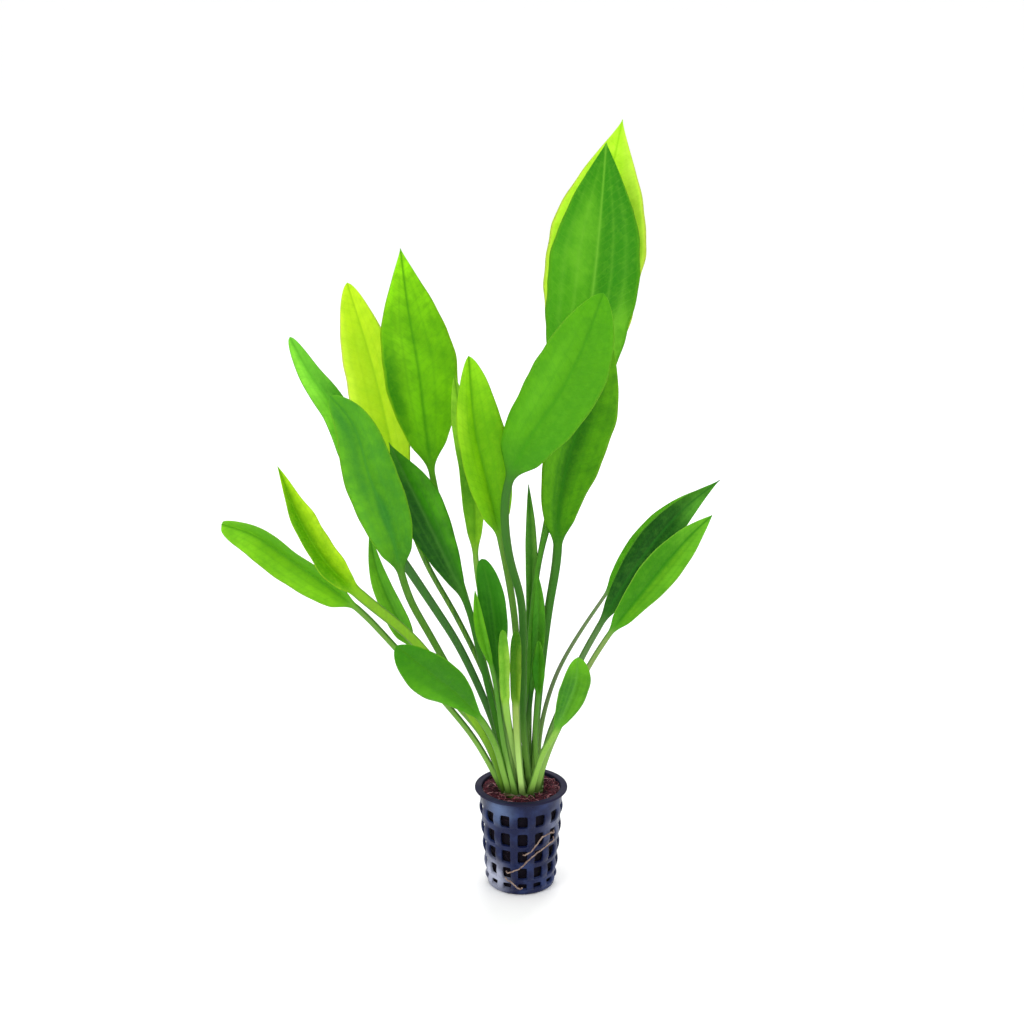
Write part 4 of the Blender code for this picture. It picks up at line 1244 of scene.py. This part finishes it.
def plant_flesh(name, pale, deep, spread):
    """Bare plant flesh, as on a crown or a root: a little glossy, mottled in spots of `spread` mm."""
    material, tree = new_material(name)
    spot = add(tree, "TexCoord").outputs["Object"]
    cloud = add(tree, "TexNoise", None, {"Vector": spot, "Scale": 1000.0 / spread, "Detail": 4.0})
    mottle = add(tree, "MapRange", None, {0: cloud.outputs[0], 1: 0.35, 2: 0.65})
    tone = add(tree, "Mix", BLEND, {0: mottle.outputs[0], 6: linear(pale), 7: linear(deep)})
    bump = add(tree, "Bump", None, {"Strength": 0.5, "Distance": 0.0002, "Height": cloud.outputs[0]})
    flesh = {
        "Base Color": tone.outputs[2],
        "Roughness": 0.5,
        "Subsurface Weight": 0.15,
        "Subsurface Radius": (1.0, 0.8, 0.4),
        "Subsurface Scale": 0.001,
        "Normal": bump.outputs[0],
    }
    shader = add(tree, "BsdfPrincipled", None, flesh)
    add(tree, "OutputMaterial", None, {"Surface": shader.outputs[0]})
    return material


def crown_relief(grid):
    """Nineteen shallow ridges around the side, and small lumps on the top."""
    x, y, z = grid[..., 0], grid[..., 1], grid[..., 2]
    ridge = np.cos(19 * np.arctan2(y, x)) * ease((np.hypot(x, y) - 5) / 4)
    field = lumps(grid, (2.2, 2.9, 3.6, 4.4), SEEDS["crown"])
    grid[..., 2] += 0.18 * field * ease((z - 57) / 2)
    grid[..., :2] *= (0.98 + 0.03 * ridge)[..., None]


def make_crown():
    """Rootstock: turned outline with a rounded shoulder, and ridges where old leaves stood."""
    shoulder = CROWN_RADIUS - CROWN_SHOULDER
    outline = [(0, CROWN_TOP)]
    outline += [(r, CROWN_TOP - 0.25 * (r / CROWN_RADIUS) ** 2) for r in np.linspace(0.8, shoulder, 14)]
    for angle in np.linspace(0.15, 1.6, 8):
        outline.append((shoulder + CROWN_SHOULDER * math.sin(angle), 58.4 + 1.35 * math.cos(angle)))
    outline += [(CROWN_RADIUS - 0.5 * t, 58.3 - 1.9 * t) for t in np.linspace(0.2, 1, 6)]
    outline.append((0, CROWN_FOOT))
    material = plant_flesh("crown_tissue", "#5C7A30", "#26380F", 2.4)
    turned_piece(outline, 140, crown_relief, "crown_flesh", material, "crown")


def make_roots():
    """Each root: a tube along its route on the wall, thinner at its ends, with small swellings."""
    material = plant_flesh("root_skin", "#A08A7C", "#6A5248", 1.6)
    for seed, (name, marks) in enumerate(ROOTS.items()):
        bearing, height = np.array(marks, dtype=float).T
        lifts = np.full(len(marks), ROOT_LIFT)
        lifts[[0, -1]] = ROOT_SUNK
        path = smooth_line(on_circle(wall_radius(height) + lifts, np.radians(bearing), height), 14)
        t = np.linspace(0, 1, len(path))
        rng = np.random.default_rng(SEEDS["root"] + seed)
        wobble = np.sin(math.tau * (5 * t + rng.uniform())) * 0.10
        wobble = wobble + np.sin(math.tau * (11 * t + rng.uniform())) * 0.06
        path[:, 2] += wobble * 2
        grid = wiry_tube(path, ROOT_RADIUS * (0.82 + wobble), 14)
        points, faces = capped_tube(grid, path[[0, -1]])
        new_piece(name + "_skin", points, faces, material, name)


# Stage


def make_stage():
    """Plain pale floor, soft studio light and the camera at the photograph's angle."""
    corners = [(x * FLOOR_HALF, y * FLOOR_HALF, 0) for x, y in ((-1, -1), (1, -1), (1, 1), (-1, 1))]
    mesh = bpy.data.meshes.new("floor")
    mesh.from_pydata(corners, [], [(0, 1, 2, 3)])
    # Matt white board, which shows only the object's soft shadow
    material, tree = new_material("pale_floor")
    shader = add(tree, "BsdfPrincipled", None, {"Base Color": FLOOR_TONE, "Roughness": 0.9})
    add(tree, "OutputMaterial", None, {"Surface": shader.outputs[0]})
    mesh.materials.append(material)
    in_scene("floor", mesh)

    world = bpy.data.worlds.new("soft_room")
    world.use_nodes = True
    background = world.node_tree.nodes["Background"]
    background.inputs[0].default_value = (1, 1, 1, 1)
    background.inputs[1].default_value = ROOM_LIGHT
    bpy.context.scene.world = world
    for name, (place, target, size, power) in LIGHTS.items():
        lamp = bpy.data.lights.new(name, "AREA")
        lamp.shape = "SQUARE"
        lamp.size = size
        lamp.energy = power
        thing = in_scene(name, lamp)
        way = np.subtract(target, place)
        level = math.hypot(way[0], way[1])
        thing.location = place
        thing.rotation_euler = (math.atan2(level, -way[2]), 0, math.atan2(-way[0], way[1]))

    lens = bpy.data.cameras.new("camera")
    lens.lens = CAMERA_LENS
    lens.sensor_width = CAMERA_SENSOR
    camera = in_scene("camera", lens)
    camera.location = CAMERA_PLACE
    camera.rotation_euler = (math.radians(90 - CAMERA_TILT), 0, 0)
    bpy.context.scene.camera = camera
    bpy.context.scene.view_settings.view_transform = "Standard"


make_leaves()
make_pot()
make_fibre_plug()
make_fibre_strands()
make_crown()
make_roots()
make_stage()
